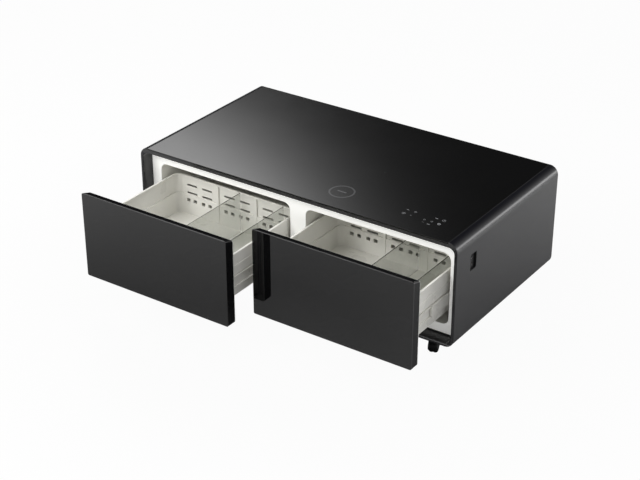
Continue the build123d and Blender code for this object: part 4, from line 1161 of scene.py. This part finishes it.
def towards_aim(aim):
    """How far a ray goes along an aim."""
    return on_vectors(studio, "DOT_PRODUCT", towards, aim).outputs["Value"]


def fade_out(ratio_squared):
    """A bell curve: one in the middle, and next to nothing at two or three half widths."""
    return join_up("EXPONENT", join_up("MULTIPLY", ratio_squared, -1.0))


def fade(value, start, end, from_level, to_level):
    """Goes smoothly from one level to another between two values."""
    inputs = {
        "Value": value,
        "From Min": start,
        "From Max": end,
        "To Min": from_level,
        "To Max": to_level,
    }
    made = put(studio, "ShaderNodeMapRange", inputs, interpolation_type="SMOOTHSTEP")
    return made.outputs["Result"]


def soft_light(azimuth, elevation, peak, width, most):
    """A round soft light in the sky. Azimuth is from +Y towards -X, in degrees."""
    a, e = math.radians(azimuth), math.radians(elevation)
    aim = (-math.sin(a) * math.cos(e), math.cos(a) * math.cos(e), math.sin(e))
    off_aim = join_up("ARCCOSINE", join_up("MINIMUM", towards_aim(aim), 1.0))
    ratio = join_up("DIVIDE", off_aim, math.radians(width))
    shine = fade_out(join_up("MULTIPLY", ratio, ratio))
    return join_up("MINIMUM", join_up("MULTIPLY", shine, peak), most)


def soft_panel(azimuth, elevation, peak, wide, tall):
    """A soft oblong light, given by its half widths in degrees."""
    turn = Matrix.Rotation(math.radians(azimuth), 3, "Z")
    turn = turn @ Matrix.Rotation(math.radians(elevation), 3, "X")
    across, aim, up = (turn @ Vector(axis) for axis in ((1, 0, 0), (0, 1, 0), (0, 0, 1)))
    fall = 0.0
    for line, reach in ((across, wide), (up, tall)):
        ratio = join_up("DIVIDE", towards_aim(line), math.sin(math.radians(reach)))
        fall = join_up("ADD", join_up("MULTIPLY", ratio, ratio), fall)
    facing = join_up("GREATER_THAN", towards_aim(aim), 0.0)
    edged = join_up("MAXIMUM", join_up("SUBTRACT", fade_out(fall), panel_cut), 0.0)
    return join_up("MULTIPLY", join_up("MULTIPLY", edged, facing), peak)


front_level, rear_level = 0.5, 0.045
in_front = fade(join_up("MULTIPLY", heading["Y"], -1.0), -0.15, 0.5, 0.0, front_level)
level = join_up("MAXIMUM", in_front, rear_level)
level = join_up("ADD", level, soft_light(45.1, 32.9, 44.0, 5.43, 2.6))
rays = put(studio, "ShaderNodeLightPath").outputs
# The side panel's upper part is weak at first hand, so that no view finds the top white. A
# deeper ray has been mirrored before.
first_hand_depth = 2.5
bounced = join_up("GREATER_THAN", rays["Ray Depth"], first_hand_depth)
share_seen = join_up("MAXIMUM", bounced, fade(heading["Z"], 0.17, 0.27, 1.0, 0.22))
side_panel = join_up("MULTIPLY", soft_panel(-38.0, 13.0, 5.6, 26.0, 23.0), share_seen)
level = join_up("ADD", level, side_panel)
level = join_up("ADD", level, soft_panel(-112.0, 30.0, 1.0, 20.0, 18.0))
shade = put(studio, "ShaderNodeBackground", {"Color": (1, 1, 1, 1), "Strength": level})
white = put(studio, "ShaderNodeBackground", {"Color": (1, 1, 1, 1), "Strength": 1.0})
by_ray = {0: rays["Is Camera Ray"], 1: shade.outputs[0], 2: white.outputs[0]}
sky = put(studio, "ShaderNodeMixShader", by_ray)
studio.links.new(sky.outputs[0], studio.nodes["World Output"].inputs["Surface"])


def area_light(name, place, target, size, power):
    """A soft rectangular light aimed at a point."""
    data = bpy.data.lights.new(name, "AREA")
    data.shape = "RECTANGLE"
    data.size, data.size_y = size
    data.energy = power
    lamp = bpy.data.objects.new(name, data)
    aim = (Vector(target) - Vector(place)).to_track_quat("-Z", "Y")
    lamp.matrix_world = Matrix.Translation(place) @ aim.to_matrix().to_4x4()
    bpy.context.scene.collection.objects.link(lamp)


area_light("overhead", (0.2, -0.4, 3.8), (0, -0.1, 0.3), (3.4, 2.2), 74.0)
area_light("key", (-1.5, -3.1, 2.9), (0, -0.2, 0.3), (2.2, 1.8), 94.0)

# Camera, at the photographed angle

camera_data = bpy.data.cameras.new("camera")
camera_data.lens = 86.55
camera_data.sensor_width = 36.0
camera_data.clip_end = 100.0
camera = bpy.data.objects.new("camera", camera_data)
camera.location = (2.6963, -3.9046, 2.7628)
camera.rotation_euler = (math.radians(61.65), 0.0, math.radians(34.59))
bpy.context.scene.collection.objects.link(camera)
bpy.context.scene.camera = camera
bpy.context.scene.view_settings.view_transform = "Standard"
